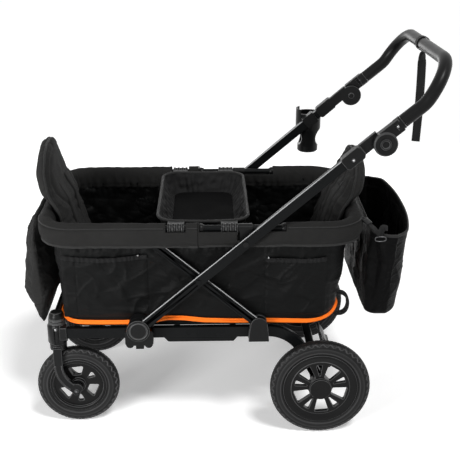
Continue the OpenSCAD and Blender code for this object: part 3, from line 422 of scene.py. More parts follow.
def turned(centre, axis, outline, count=32):
    """A lathe shape: (radius, along) points of an outline turned about an axis through a centre."""
    axis = unit(np.asarray(axis, float))
    a = unit(np.cross(axis, (0.3, 0.5, 0.8)))
    b = np.cross(axis, a)
    turn = angles(count)
    ring = np.cos(turn)[:, None] * a + np.sin(turn)[:, None] * b
    o = np.asarray(outline, float)
    return np.asarray(centre, float) + o[:, None, 1:] * axis + o[:, None, :1] * ring[None]


def push(grid, amount, wrap=(False, False)):
    """Moves a grid's points along its own surface normals (first axis crossed with second)."""
    def slope(axis):
        if wrap[axis]:
            return np.roll(grid, -1, axis) - np.roll(grid, 1, axis)
        return np.gradient(grid, axis=axis)
    return grid + unit(np.cross(slope(0), slope(1))) * np.asarray(amount)[..., None]


def skin(name, grids, material, body, wrap=(False, True), caps=False, keep=None, flip=False,
         stands_for=()):
    """One object from grids of points, first axis along and second across, joined into quads.
    wrap closes an axis, caps close the first and last rows with fans (or the first alone), keep drops the quads where it
    is false.
    A closed shape is turned so that its volume is positive. The UV map holds the run of each axis in metres."""
    grids = [grids] if isinstance(grids, np.ndarray) else list(grids)
    points, faces, maps, base = [], [], [], 0
    for grid in grids:
        n, m = grid.shape[:2]
        p = at(grid).reshape(-1, 3)
        i, j = np.meshgrid(np.arange(n if wrap[0] else n - 1), np.arange(m if wrap[1] else m - 1), indexing="ij")
        chosen = np.ones(i.shape, bool) if keep is None else keep
        i, j = i[chosen], j[chosen]
        ni, nj = (i + 1) % n, (j + 1) % m
        quads = np.stack([i * m + j, i * m + nj, ni * m + nj, ni * m + j], -1)
        net = p.reshape(n, m, 3)
        gaps = [np.linalg.norm(np.roll(net, -1, k) - net, axis=2) for k in (0, 1)]
        run = [np.r_[0, np.cumsum(gaps[0].mean(1))], np.r_[0, np.cumsum(gaps[1].mean(0))]]
        u = np.stack([run[1][j], run[1][j + 1], run[1][j + 1], run[1][j]], -1)
        v = np.stack([run[0][i], run[0][i], run[0][i + 1], run[0][i + 1]], -1)
        fans = np.zeros((0, 3), int)
        if caps:
            k = np.arange(m)
            middles = np.stack([net[0].mean(0), net[-1].mean(0)])
            first = np.stack([k * 0 + n * m, (k + 1) % m, k], -1)
            last = np.stack([k * 0 + n * m + 1, (n - 1) * m + k, (n - 1) * m + (k + 1) % m], -1)
            fans = first if caps == "first" else np.concatenate([first, last])
            p = np.concatenate([p, middles])
        tris = np.concatenate([quads[:, [0, 1, 2]], quads[:, [0, 2, 3]], fans])
        if all(wrap) or (wrap[1] and caps is True):
            c = p - p.mean(0)
            turned_in = np.einsum("ij,ij->i", c[tris[:, 0]], np.cross(c[tris[:, 1]], c[tris[:, 2]])).sum() < 0
        else:
            turned_in = flip
        if turned_in:
            quads, fans, u, v = quads[:, ::-1], fans[:, ::-1], u[:, ::-1], v[:, ::-1]
        points.append(p)
        faces += (quads + base).tolist() + (fans + base).tolist()
        maps += [np.stack([u, v], -1).reshape(-1, 2), np.zeros((3 * len(fans), 2))]
        base += len(p)
    points = np.concatenate(points)
    maps = np.concatenate(maps)
    used = np.zeros(len(points), bool)
    used[np.concatenate([np.asarray(f) for f in faces])] = True
    if not used.all():
        renumber = np.cumsum(used) - 1
        faces = [[int(renumber[k]) for k in f] for f in faces]
        points = points[used]
    mesh = bpy.data.meshes.new(name)
    mesh.from_pydata(points.tolist(), [], faces)
    mesh.uv_layers.new(name="run").data.foreach_set("uv", maps.astype(np.float32).ravel())
    mesh.polygons.foreach_set("use_smooth", np.ones(len(faces), bool))
    mesh.materials.append(material)
    mesh.update()
    return settle(bpy.data.objects.new(name, mesh), body, stands_for)


def settle(made, body, stands_for):
    """Links a finished object, rides it on its body and hides the CAD nodes that it stands for."""
    scene.collection.objects.link(made)
    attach(made, body)
    if stands_for:
        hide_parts(*stands_for)
    return made


def thicken(made, mm, offset=-1.0):
    """Gives an open cloth surface its thickness."""
    wall = made.modifiers.new("cloth_thickness", "SOLIDIFY")
    wall.thickness, wall.offset = mm / 1000, offset
    return made


def flatten_with_fold(made):
    """Gives a basket cloth piece a mesh of its own."""
    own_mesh(made)


def mirrored(grid):
    """The same grid on the other side of the wagon."""
    return grid * np.array([1, -1, 1])


# Wrist strap: a doubled webbing tape hung from a loop round the grip
GRIP_MIDDLE = np.array([697.2, 50.0, 1131.1])


def wrist_strap():
    """The loop is a tape swept once round the grip. The strap runs down, round a small fold and up again beside itself;
    a quarter turn below the loop brings its flat face to the side, and a keeper is wrapped round the turn."""
    turn = angles(48)
    loop = GRIP_MIDDLE + np.stack([21 * np.sin(turn), turn * 0, 21 * np.cos(turn)], -1)
    band = sweep(loop, flat_oval(26, 2.2)[:, ::-1], up=(0, 1, 0), closed=True)
    down = np.linspace(0, 1, 70)
    fold = np.linspace(0, np.pi, 9)[1:-1]
    part = 1.3 + 1.6 * arch(down, 2)
    off = np.r_[part, 1.3 * np.cos(fold), -part[::-1]]
    drop = np.r_[20 + 286 * down, 306 + 1.3 * np.sin(fold), (20 + 286 * down)[::-1]]
    along = unit(np.stack([np.gradient(off), np.gradient(drop)], -1))
    section = flat_oval(26, 1.9)
    w, h = section[None, :, 0], section[None, :, 1]
    o, d = off[:, None] + h * along[:, 1:], drop[:, None] - h * along[:, :1]
    d = d + 0.1 * w * step(240, 306, d)
    twist = np.pi / 2 * step(62, 22, d)
    c, s = np.cos(twist), np.sin(twist)
    strap = GRIP_MIDDLE + np.stack([3 * np.sin(d / 100) + w * c - o * s, w * s + o * c, -d], -1)
    hung = skin("wrist_strap_tape", strap, TAPE, "handlebar", caps=True, stands_for=("wrist_strap",))
    ring = skin("wrist_strap_loop", band, TAPE, "handlebar", wrap=(True, True))
    rows = np.linspace(0, 1, 14)[:, None]
    lean = np.pi / 4 + 0.5 * (0.5 - rows)
    c, s = np.cos(lean), np.sin(lean)
    w, h = (flat_oval(29, 11, 28)[:, k] * (0.84 + 0.16 * arch(rows, 0.6)) for k in (0, 1))
    knot = GRIP_MIDDLE + np.stack([1 + w * c - h * s, w * s + h * c, -26 - 26 * rows + 0 * w], -1)
    keeper = skin("wrist_strap_keeper", knot, TAPE, "handlebar", caps=True)


wrist_strap()


# Basket: a sewn cloth tub, its lower edge rounded up. Where the rounded foot ends, how high it is, and the furthest
# that the cloth stands off the plain tub
FOOT_TOP, FOOT_HIGH = 382, 40
MOST_DRAPE = 9.5


def tub_sizes(z):
    """Front end, rear end, half width and corner radius of the tub at a height: a quarter ellipse, then straight."""
    z = np.asarray(z, float)
    lift = np.clip((FOOT_TOP - z) / FOOT_HIGH, 0, 1)
    tuck = 1 - np.sqrt(1 - lift**2)
    rise = np.clip((z - FOOT_TOP) / 256, 0, None)
    front = -406 - 19 * rise + 18 * tuck
    rear = 424 + 32 * rise - 52 * tuck
    return front, rear, 258 + 5 * rise - 14 * tuck, 64 + 10 * rise - 8 * tuck


def tub_ring(z, share):
    """Rings of the tub at heights z, seen from above, with their level normals."""
    front, rear, half, corner = tub_sizes(z)
    ring = round_box((rear - front) / 2, half, corner, share)
    normal = outward(ring)
    ring[..., 0] += ((rear + front) / 2)[:, None]
    return ring, normal


def drape(x, y, z):
    """How far the wall cloth stands off the plain tub: slack belly, long soft folds, gathers under the rim,
    the two folds pulled by the scissor legs and the sewn uprights; held inside the folding legs."""
    side = np.where(y < 0, 0.0, 5000.0)
    s = x + side + 0.9 * np.abs(y)
    slack = arch((z - 352) / 270, 0.8)
    d = slack * (4.6 * waves(s, z, 330, 3) + 4.6 * creases(s * 0.75 + z * 0.5, z, 210, 5) + 2.0 * waves(s, z, 80, 9))
    d += slack * (3.2 * creases(s - z * 0.9, z, 150, 21, 5) + 1.6 * creases(s * 0.7 + z, z, 75, 23))
    gather = step(566, 604, z)
    d += gather * (1.8 * np.sin(2 * np.pi * s / 24 + 2.4 * waves(s, 0 * z, 130, 11)) + 1.2 * waves(s, z, 30, 12) - 2.0)
    on_side = step(230, 252, np.abs(y))
    for fold in (((-146, 580), (36, 482), 10, 13), ((-118, 562), (-30, 470), 6, 9), ((232, 566), (112, 508), 7, 11),
                 ((-330, 402), (-118, 384), 5, 10), ((-372, 500), (-262, 398), 5, 14), ((-300, 540), (-196, 420), 4, 12),
                 ((250, 480), (390, 400), 4, 13), ((330, 540), (262, 430), 4, 12)):
        d += on_side * ridge(x, z, *fold, 0.08)
    for seam in (-352, 201, 392):
        d -= on_side * 1.6 * dip(x - seam, 2.2) * step(372, 384, z)
    d = d * step(360, 386, z)
    return np.where(d > 0, MOST_DRAPE * np.tanh(d / MOST_DRAPE), d)


def basket():
    """The outside of the tub from the middle of its floor up to the rim, pushed off the plain shape by the drape."""
    share = np.arange(500) / 500
    floor = np.linspace(0.06, 0.985, 12)
    a = np.linspace(0, np.pi / 2, 12)
    z = np.r_[BASKET_UNDER, FOOT_TOP - FOOT_HIGH * np.cos(a), np.linspace(386, 640, 66)]
    ring, normal = tub_ring(z, share)
    x, y = ring[..., 0], ring[..., 1]
    zz = np.repeat(z[:, None], len(share), 1)
    ring = ring + normal * drape(x, y, zz)[..., None]
    under = ring[:1] * floor[:, None, None]
    sag = 1.2 * waves(under[..., 0], under[..., 1], 160, 31) * (1 - floor[:, None])
    whole = np.concatenate([raised(under, BASKET_UNDER + sag), raised(ring, zz)])
    made = skin("basket_cloth", whole, WALL_CLOTH, "base", caps="first", stands_for=("basket",))
    thicken(made, 2.6)
    flatten_with_fold(made)


def wall_y(x, z):
    """The near wall's distance from the middle plane, drape and all."""
    _, _, half, _ = tub_sizes(z)
    return half + drape(x, -half, z)


def pockets():
    """Four outer pockets: a panel just off the wall that gapes at its hem, and the hem as a flat tape round its edge."""
    panels, hems = [], []
    for x_from, x_to, edge in ((-394, -142, lambda x: 565 + 9 * ((x + 268) / 130) ** 2),
                               (206, 386, lambda x: 557 + 5 * ((x - 296) / 100) ** 2)):
        u, v = np.meshgrid(np.linspace(0, 1, 110), np.linspace(0, 1, 70), indexing="ij")
        x = x_from + (x_to - x_from) * u
        z = 372 + (edge(x) - 372) * v
        sewn = step(0, 0.05, u) * step(0, 0.05, 1 - u) * step(0, 0.04, v)
        gape = 1.4 + 3.0 * v**3 * arch(u) + 1.0 * waves(x, z, 90, 41) * v
        gape = gape + 1.2 * creases(x + z * 0.4, z, 170, 43, 5)
        pucker = 1.1 * np.sin(2 * np.pi * x / 15 + 2 * waves(x, 0 * x, 70, 44)) * step(0.86, 1.0, v)
        y = -(wall_y(x, z) + 0.6 + sewn * (gape + pucker))
        panel = np.stack([x, y, z], -1)
        lip = panel[:, -1] + np.array([0, -1.2, -6])
        hem = sweep(lip, flat_oval(3.4, 13.5, 18), up=(0, 0, 1))
        for grid, group in ((panel, panels), (hem, hems)):
            group += [grid, mirrored(grid)]
    for name, chosen, flip in (("near", panels[0::2], False), ("far", panels[1::2], True)):
        made = skin(f"pocket_panels_{name}", chosen, WALL_CLOTH, "base", wrap=(False, False), flip=flip)
        thicken(made, 1.2, 0)
        flatten_with_fold(made)
    made = skin("pocket_hems", hems, TAPE, "base", caps=True)
    flatten_with_fold(made)


def piping():
    """Orange cord along the lower seam: its height wanders along the sides and lifts round both ends."""
    share = np.arange(640) / 640
    ring, _ = tub_ring(np.array([360.0]), share)
    x = ring[0, :, 0]
    ends = np.array([-402, -389, -300, -212, -130, -88, -40, 26, 120, 213, 300, 347, 380, 401, 412])
    highs = np.array([366, 353, 349, 348, 353, 364, 362, 353, 350, 350, 347, 345, 349, 360, 384])
    z = np.interp(x, ends, highs)
    for _ in range(6):
        z = 0.25 * np.roll(z, 1) + 0.5 * z + 0.25 * np.roll(z, -1)

    def beside(lift, off):
        """The cord's line moved up, then out square to the tub's side at that height."""
        front, rear, half, corner = tub_sizes(z + lift)
        ring = np.einsum("iik->ik", round_box((rear - front) / 2, half, corner, share))
        ring = ring + outward(ring) * off + np.stack([(rear + front) / 2, 0 * z], -1)
        return raised(ring, z + lift)
    made = skin("basket_cord", sweep(beside(0, 4.4), circle(4.8, 14), closed=True), PIPING, "base", wrap=(True, True),
                stands_for=("basket_piping",))
    strip = skin("basket_cord_tape", sweep(beside(6, 3.4), flat_oval(2.6, 8, 14), closed=True), PIPING, "base",
                 wrap=(True, True))
    for piece in (made, strip):
        flatten_with_fold(piece)


basket()
pockets()
piping()


# Rim: padded cover over the tube, in a front and a rear half. Half length, corner, way round and middle of the tube,
# the clip windows' side and the furthest that the cover may reach to the side
RIM_X, RIM_CORNER, RIM_ROUND, RIM_CENTRE = 458.5, 92, 2792, 16.5
RIM_SIDE, RIM_REACH = 270, 297
RIM_SECTION = through([(-22, -47), (-24, -38), (-24.5, -22), (-22.5, -4), (-17, 9), (-8, 16), (2, 18), (12, 15.5),
                       (18.5, 7), (21.5, -7), (21.5, -22), (18.5, -39), (13.5, -51.5)], 58)


def rim_cover(name, node, low, high, windows, seed):
    """The rim's section carried round half the rim's path, padded out between its stitched edges;
    pleats on the inner lip, slanting pulls by the clips, windows where the clips and rod show. A thin welt runs along
    its outer shoulder and a flat binding along its lower edge."""
    share = np.linspace(low, high, 480)
    path = round_box([RIM_X], [RIM_Y], [RIM_CORNER], share)[0]
    ahead = unit(np.gradient(path, axis=0))
    normal = np.stack([ahead[:, 1], -ahead[:, 0]], -1)
    path = path + np.array([RIM_CENTRE, 0])
    s = np.linspace(0, (high - low) * RIM_ROUND, len(share))[:, None]
    out, up = RIM_SECTION[None, :, 0], RIM_SECTION[None, :, 1]
    t = np.linspace(0, 1, len(RIM_SECTION))[None]
    inner, outer = step(0.42, 0.3, t), step(0.56, 0.66, t)
    x = path[:, :1]
    d = 0.9 * waves(s, t * 130, 170, seed) + 0.5 * waves(s, t * 130, 45, seed + 1)
    d = d + inner * (1.9 * np.sin(2 * np.pi * s / 31 + 2.6 * waves(s, 0 * s, 160, seed + 2)) * step(-4, -30, up)
                     + 2.0 * creases(s, up * 0.6, 60, seed + 3, 5))
    d = d + outer * 1.6 * arch((up + 51) / 60)
    near_clip = dip(x + 55, 60) + dip(x - 30, 70) + dip(x - 200, 90)
    d = d + outer * near_clip * (3.2 * creases(s * 0.5 + up * 1.4, up, 60, seed + 4, 3) - 1.0)
    for pull in (((-70, -37), (4, -11), 3.6), ((-92, -46), (-30, -30), 3.0), ((-30, -30), (30, -47), 3.0),
                 ((60, -16), (116, -40), 3.2), ((176, -14), (226, -42), 3.2)):
        d = d + outer * ridge(x, up, *pull, 5, 0.06)
    d = d + outer * (1.6 * dip(up - 8, 1.8) - 2.0 * dip(up - 2.5, 2.2))
    d = d - 1.8 * dip(up + 40, 1.8) * outer - 1.5 * dip(up + 36, 1.8) * inner
    grid = push(raised(path[:, None] + out[..., None] * normal[:, None], RIM_Z + up), -d)
    past = np.abs(grid[..., 1]) - RIM_REACH
    grid[..., 1] -= np.sign(grid[..., 1]) * np.where(past > 0, past - 2.2 * np.tanh(past / 2.2), 0)
    keep = np.ones((len(share) - 1, len(RIM_SECTION) - 1), bool)
    mid_x = (path[1:, 0] + path[:-1, 0])[:, None] / 2
    mid_out, mid_up = (RIM_SECTION[1:] + RIM_SECTION[:-1]).T[:, None] / 2
    on_side = (np.abs(path[1:, 1]) > RIM_SIDE)[:, None]
    for x_from, x_to, floor, outer_only in windows:
        gone = (mid_x > x_from) & (mid_x < x_to) & (mid_up > floor) & on_side
        keep &= ~(gone & (mid_out > 0)) if outer_only else ~gone
    made = skin(name, grid, RIM_CLOTH, "rim", wrap=(False, False), keep=keep, stands_for=(node,))
    thicken(made, 2.4)
    edge = push(grid, 0 * d - 0.4)[:, -2] + np.array([0, 0, 1.0])
    skin(name + "_binding", sweep(edge, flat_oval(3.6, 8, 14)), BINDING, "rim", caps=True)
    shoulder = np.argmin(np.abs(RIM_SECTION[:, 1] - 8) + 99 * (RIM_SECTION[:, 0] < 5))
    clear = np.ones(len(share), bool)
    for x_from, x_to, _, _ in windows:
        clear &= ~((path[:, 0] > x_from - 3) & (path[:, 0] < x_to + 3) & (np.abs(path[:, 1]) > RIM_SIDE))
    welts = np.split(np.arange(len(share)), np.flatnonzero(np.diff(clear)) + 1)
    cords = [sweep(grid[k, shoulder], circle(1.9, 12)) for k in welts if clear[k[0]] and len(k) > 3]
    skin(name + "_welt", cords, BINDING, "rim", caps=True)


rim_cover("rim_cover_front_cloth", "rim_cover_front", 0.25304, 0.74696, ((-84, -26, -5, False),), 51)
rim_cover("rim_cover_rear_cloth", "rim_cover_rear", -0.2526, 0.2526, ((12, 263, -5, False), (121, 169, -30, True)), 61)


def rod_collars():
    """Round end knobs where the bare rim rod leaves the cover."""
    outline = [(0.2, -10), (9, -9.5), (13.5, -6.5), (15, 0), (13.5, 6.5), (11, 9.5), (10.4, 10)]
    rings = [turned((x, side * RIM_Y, RIM_Z), (way, 0, 0), outline)
             for x, way in ((16, 1), (259, -1)) for side in (-1, 1)]
    skin("rod_collars", rings, PLASTIC, "rim", caps=True)


def snaps():
    """Small domed snap studs along the rim cover's edge and the pocket hems."""
    outline = [(0.1, 2.0), (1.6, 1.8), (2.6, 0.9), (2.9, 0.2), (2.9, -0.6)]
    rings = [turned((x, side * (wall_y(np.array(x), np.array(z)) + 7.5), z), (0, side, 0), outline, 20)
             for x, z in ((-168, 572), (214, 562)) for side in (-1, 1)]
    made = skin("snap_studs", rings, STEEL, "base", caps=True)
    flatten_with_fold(made)


rod_collars()
snaps()


# Tray: gathered cloth walls, a smooth base and a piped edge
def tray():
    """Rings from the base's corner up to the edge; the walls ruffle towards the top, the edge carries a round cord."""
    share = np.arange(440) / 440
    middle = np.array([23, 0])
    h = np.linspace(0, 1, 34)
    lean = 1 - h
    grids = []
    for skin_in in (0, 3.5):
        half_x = 133 - 34 * lean**1.3 - skin_in
        half_y = 240 - 26 * lean**1.3 - skin_in
        ring = round_box(half_x, half_y, 56 - 16 * lean - skin_in, share)
        normal = outward(ring)
        s = share[None] * 1290
        ruffle = 1.9 * np.sin(2 * np.pi * s / 27 + 3.0 * waves(s, 0 * s, 150, 71))
        ruffle = (ruffle + 1.6 * waves(s, h[:, None] * 60, 34, 72)) * arch(h[:, None] * 0.92 + 0.06, 0.7)
        ring = ring + normal * ruffle[..., None] * (1 if skin_in == 0 else 1.25)
        z = 601.5 + 66 * h + skin_in * lean
        grids.append(raised(ring + middle, z[:, None]))
    walls = np.concatenate([grids[0], grids[1][::-1]])
    skin("tray_walls", walls, TRAY_CLOTH, "tray_unit", wrap=(True, True), stands_for=("tray",))
    k = np.linspace(0.02, 1, 24)
    edge = round_box([97], [212], [39], share)[0]
    level = edge[None] * k[:, None, None] + middle
    level = raised(level, 606 + 0.7 * waves(level[..., 0], level[..., 1], 220, 75) - 1.6 * k[:, None] ** 12)
    thicken(skin("tray_base", level, BASE_PANEL, "tray_unit", caps="first", flip=True), 3.0)
    sag = 668 - 2.5 * dip(share - 0.75, 0.04) - 2.5 * dip(share - 0.25, 0.04)
    path = raised(round_box([134], [241], [57], share)[0] + middle, sag)
    skin("tray_piping", sweep(path, circle(4.6, 16), closed=True), BINDING, "tray_unit", wrap=(True, True))


tray()


# Carry bag: a lofted shell that sags, open at the top
TOTE_FLOOR = 350


def tote():
    """Rings from the flat bottom to a tilted mouth, round at the back like a D. The end walls fold in along a curved
    line, the long walls hang in soft folds, and a sewn hem runs below the mouth."""
    share = np.arange(420) / 420
    h = np.r_[np.linspace(0, 0.06, 8), np.linspace(0.08, 1, 76)]
    tuck = np.sqrt(np.clip(1 - (1 - np.clip(h / 0.07, 0, 1)) ** 2, 0, 1))
    half_x = (56 + 8 * h) - 12 * (1 - tuck)
    half_y = (226 + 29 * h) - 12 * (1 - tuck)
    ring = round_box(half_x, half_y, 34 + 12 * h - 6 * (1 - tuck), share)
    hh = h[:, None]
    reach = np.abs(ring[..., 1]) / half_y[:, None]
    ring[..., 0] -= (26 + 8 * hh) * reach**2.4 * step(-10, 50, ring[..., 0])
    normal = outward(ring)
    y = ring[..., 1]
    x = ring[..., 0] + 570 + 18 * hh
    s = share[None] * 1190
    z = TOTE_FLOOR + (287 + 0.042 * y - 6 * dip(reach - 1, 0.12)) * hh
    swell = arch(hh)
    ends = step(196, 236, np.abs(y))
    fold_x = np.interp(z, [350, 399, 458, 527, 570, 600, 640], [540, 547, 559, 567, 556, 541, 534])
    d = 8 * swell**0.9 * (1 - ends) * np.cos(np.clip(y / 255, -1, 1) * np.pi / 2)
    d = d - ends * swell**0.6 * (15 * step(0, 30, fold_x - x) - 4 * dip(x - fold_x - 6, 9))
    d = d + swell**0.6 * (2.6 * creases(s + hh * 90, hh * 280, 150, 81) + 2.6 * waves(s, hh * 280, 130, 82))
    d = d + swell**0.6 * 2.0 * creases(s * 0.8 - hh * 120, hh * 280, 70, 83, 5)
    d = d - 2.4 * dip(hh - 0.885, 0.006) + 1.6 * step(0.888, 0.9, hh)
    d = d - 9 * dip(np.hypot(x - 543, z - 612), 26) * ends
    grid = np.stack([x + normal[..., 0] * d, y + normal[..., 1] * d, z], -1)
    k = np.linspace(0.05, 0.97, 10)[:, None, None]
    middle = np.array([568, 0])
    whole = np.concatenate([raised((grid[:1, :, :2] - middle) * k + middle, TOTE_FLOOR), grid])
    made = skin("tote_cloth", whole, BAG_CLOTH, "rim", caps="first", stands_for=("tote_bag",))
    thicken(made, 2.6)
    mouth = grid[-1] + np.array([0, 0, -1.0])
    skin("tote_binding", sweep(mouth, flat_oval(4.6, 9, 16), closed=True), BINDING, "rim", wrap=(True, True))
    tapes, sliders, rings = [], [], []
    turn = angles(40)
    for side in (-1, 1):
        line = through([(478, side * 204, 666), (494, side * 212, 660), (512, side * 227, 648), (530, side * 246, 634),
                        (541, side * 257, 620)], 44)
        lean = (0.5, side * 0.4, 0.75)
        tapes.append(sweep(line, flat_oval(22, 2.4), up=lean))
        tail = through([(540, side * 258, 618), (543, side * 255, 634), (551, side * 251, 645),
                        (563, side * 250, 642)], 24)
        tapes.append(sweep(tail, flat_oval(20, 2.2), up=(0.4, side * 0.5, 0.7)))
        sliders.append(sweep(line[14:23] + np.array([0.8, side * 0.8, 1.2]), flat_oval(29, 6.5), up=lean))
        c, s = np.cos(turn), np.sin(turn)
        loop = np.stack([542 + 16 * c, side * (261 + 2 * s), 613 + 8 * bent(s, 0.6)], -1)
        rings.append(sweep(loop, circle(1.4, 10), up=(0, 1, 0), closed=True))
    skin("tote_tapes", tapes, TAPE, "rim", caps=True)
    skin("tote_sliders", sliders, PLASTIC, "rim", caps=True)
    skin("tote_rings", rings, DARK_STEEL, "rim", wrap=(True, True))


tote()


# Sewn and stuffed pieces
def pad_outline(w, h, top_n, low_n, count=240):
    """A superellipse, squarer below than above where low_n is larger, in even steps."""
    a = np.linspace(0, 2 * np.pi, 4001)
    c, s = np.cos(a), np.sin(a)
    n = 2 / np.where(s > 0, top_n, low_n)
    p = np.stack([w / 2 * bent(c, n), h / 2 * bent(s, n)], -1)
    run = np.r_[0, np.cumsum(np.linalg.norm(np.diff(p, axis=0), axis=1))]
    even = np.arange(count) / count * run[-1]
    return np.stack([np.interp(even, run, p[:, k]) for k in (0, 1)], -1)


def pad_shape(w, h, front_t, back_t, top_n, low_n):
    """A crowned closed form: rings of the outline shrink to a pole on each face, the height falls as the fifth power."""
    edge = pad_outline(w, h, top_n, low_n, 200)
    r = np.r_[np.linspace(0.03, 0.9, 26), 1 - 0.1 * (1 - np.linspace(0.1, 1, 10)) ** 2]
    crown = np.sqrt(np.clip(1 - r**5, 0, 1))
    front, back = (raised(r[:, None, None] * edge, (crown * t)[:, None]) for t in (front_t, -back_t))
    return np.concatenate([front, back[-2::-1]])


def mesh_points(mesh):
    flat = np.empty(len(mesh.vertices) * 3, np.float32)
    mesh.vertices.foreach_get("co", flat)
    return flat.reshape(-1, 3).astype(float)


def frozen(made):
    """The mesh of an object as its modifiers leave it."""
    return bpy.data.meshes.new_from_object(made.evaluated_get(bpy.context.evaluated_depsgraph_get()))


def closed_mesh(name, grid):
    """A mesh in metres of a ring grid closed with a fan at each end, faces outwards."""
    n, m = grid.shape[:2]
    i, j = (k.ravel() for k in np.meshgrid(np.arange(n - 1), np.arange(m), indexing="ij"))
    nj = (j + 1) % m
    quads = np.stack([i * m + j, i * m + nj, (i + 1) * m + nj, (i + 1) * m + j], -1)[:, ::-1]
    k = np.arange(m)
    fans = np.concatenate([np.stack([k * 0 + n * m, k, (k + 1) % m], -1),
                           np.stack([k * 0 + n * m + 1, (n - 1) * m + (k + 1) % m, (n - 1) * m + k], -1)])
    p = np.concatenate([grid.reshape(-1, 3), grid[:1].mean(1), grid[-1:].mean(1)]) / 1000
    mesh = bpy.data.meshes.new(name)
    mesh.from_pydata(p.tolist(), [], quads.tolist() + fans.tolist())
    return mesh


class Pad:
    """A stuffed piece: its flat size, its stuffing, where it goes and how its faces are sewn."""

    def __init__(self, name, size, thick, corners, place, sewn, cap, body, node):
        self.name, self.size, self.thick, self.corners = name, size, thick, corners
        self.place, self.sewn, self.cap, self.body, self.node = place, sewn, cap, body, node

    def prepare(self):
        """The plain shape, remeshed to even 5 mm faces, as a cloth whose sewn edge is held."""
        shape = closed_mesh(self.name + "_shape", pad_shape(*self.size, *self.thick, *self.corners))
        self.work = bpy.data.objects.new(self.name + "_work", shape)
        scene.collection.objects.link(self.work)
        even = self.work.modifiers.new("even", "REMESH")
        even.mode, even.voxel_size = "VOXEL", 0.005
        mesh = frozen(self.work)
        self.work.modifiers.clear()
        self.work.data = mesh
        self.start = mesh_points(mesh)
        edge = pad_outline(*self.size, *self.corners) / 1000
        far = np.linalg.norm(self.start[:, None, :2] - edge[None, ::2], axis=2).min(1)
        held = np.flatnonzero(far < 0.007)
        self.work.vertex_groups.new(name="seam").add(held.tolist(), 1.0, "REPLACE")
        air = self.work.modifiers.new("air", "CLOTH")
        air.settings.quality = 5
        air.settings.mass = 0.15
        air.settings.use_pressure = True
        air.settings.uniform_pressure_force = 4.0
        air.settings.effector_weights.gravity = 0
        air.settings.vertex_group_mass = "seam"
        air.settings.shrink_min = -0.05
        air.point_cache.frame_start, air.point_cache.frame_end = 1, 20

    def finish(self):
        """Takes the filled shape, no point further than the cap from its start, sews it and puts it in place."""
        p = mesh_points(frozen(self.work)) if self.work.modifiers else self.start
        moved = p - self.start
        length = np.linalg.norm(moved, axis=1, keepdims=True)
        cap = self.cap / 1000
        p = self.start + moved / np.maximum(length, 1e-9) * cap * np.tanh(length / cap)
        mesh = self.work.data
        mesh.vertices.foreach_set("co", p.astype(np.float32).ravel())
        mesh.update()
        normal = np.empty(len(p) * 3, np.float32)
        mesh.vertices.foreach_get("normal", normal)
        normal = normal.reshape(-1, 3)
        local = p * 1000
        local = local + normal * self.sewn(local, normal)[:, None]
        mesh.vertices.foreach_set("co", at(self.place(local)).astype(np.float32).ravel())
        mesh.polygons.foreach_set("use_smooth", np.ones(len(mesh.polygons), bool))
        mesh.materials.clear()
        mesh.materials.append(PAD_CLOTH)
        mesh.name = self.name
        mesh.update()
        bpy.data.objects.remove(self.work)
        made = settle(bpy.data.objects.new(self.name, mesh), self.body, (self.node,))
        fine = made.modifiers.new("fine", "SUBSURF")
        fine.levels = fine.render_levels = 1
        return made


FRONT_RUN, REAR_RUN, BACK_WIDTH, BACK_CORNERS = 450.7, 425.0, 330, (2.6, 7)


def leaning(hinge_x, lean, way):
    """Places (across, along, towards the seat) on a back that leans out from its hinge. Above the rim it is set 14 mm
    further out, and its top curls back in."""
    tip = math.radians(lean)
    along = np.array([-way * math.sin(tip), 0, math.cos(tip)])
    inside = np.array([way * math.cos(tip), 0, math.sin(tip)])
    hinge = np.array([hinge_x, 0, 408.0])

    def place(p):
        away = 14 * (step(262, 330, p[..., 1:2]) - 0.9 * step(375, 450, p[..., 1:2]))
        return hinge + p[..., :1] * np.array([0, 1.0, 0]) + p[..., 1:2] * along + (p[..., 2:] - away) * inside
    return place


FRONT_BACK = leaning(-341.67, 14, 1)
REAR_BACK = leaning(360.57, 17, -1)
BACKS = (("front", FRONT_BACK, FRONT_RUN, "back_front"), ("rear", REAR_BACK, REAR_RUN, "back_rear"))


def edge_pucker(x, y, w, h, pitch, seed):
    """Short ripples that run in from a sewn edge and die out within about 45 mm."""
    run = np.arctan2(y / h, x / w) * (w + h) / 2
    inset = np.minimum(w / 2 - np.abs(x), h / 2 - np.abs(y))
    return np.sin(2 * np.pi * run / pitch + 2 * waves(x, y, 120, seed)) * np.exp(-np.clip(inset, 0, None) / 22)


def front_back_sewn(p, n):
    """An oval head panel inside an inset seam, a cross seam under it and slack, creased cloth below. The back of the head
    is fuller."""
    x, y = p[:, 0], p[:, 1]
    inner = (n[:, 2] > 0.15).astype(float)
    v = y + FRONT_RUN / 2
    oval = np.sqrt((x / 122) ** 2 + ((v - 0.735 * FRONT_RUN) / (0.2 * FRONT_RUN)) ** 2 + 1e-9)
    d = -4.2 * dip((oval - 1) * 95, 4.5) + 2.5 * step(1.0, 0.75, oval)
    low = step(0.56, 0.46, v / FRONT_RUN)
    slack = 4.5 * creases(x * 0.8 + v * 0.5, v, 120, 101) + 2.2 * creases(x - v * 0.7, v, 75, 102)
    d = d - 4.0 * dip(v - 0.47 * FRONT_RUN, 5) + low * slack
    d = d - low * sum(2.6 * dip(x - c, 5) for c in (-98, -44, 44, 98))
    side = step(0.95, 1.25, oval) * (1 - low)
    d = d + side * 2.6 * creases(x, v, 85, 103)
    full = 15 * step(0.1, 0.8, -n[:, 2]) * step(280, 345, v)
    return inner * d + full + 1.3 * edge_pucker(x, y, BACK_WIDTH, FRONT_RUN - 8, 19, 104) + 0.5 * waves(x, v, 60, 105)


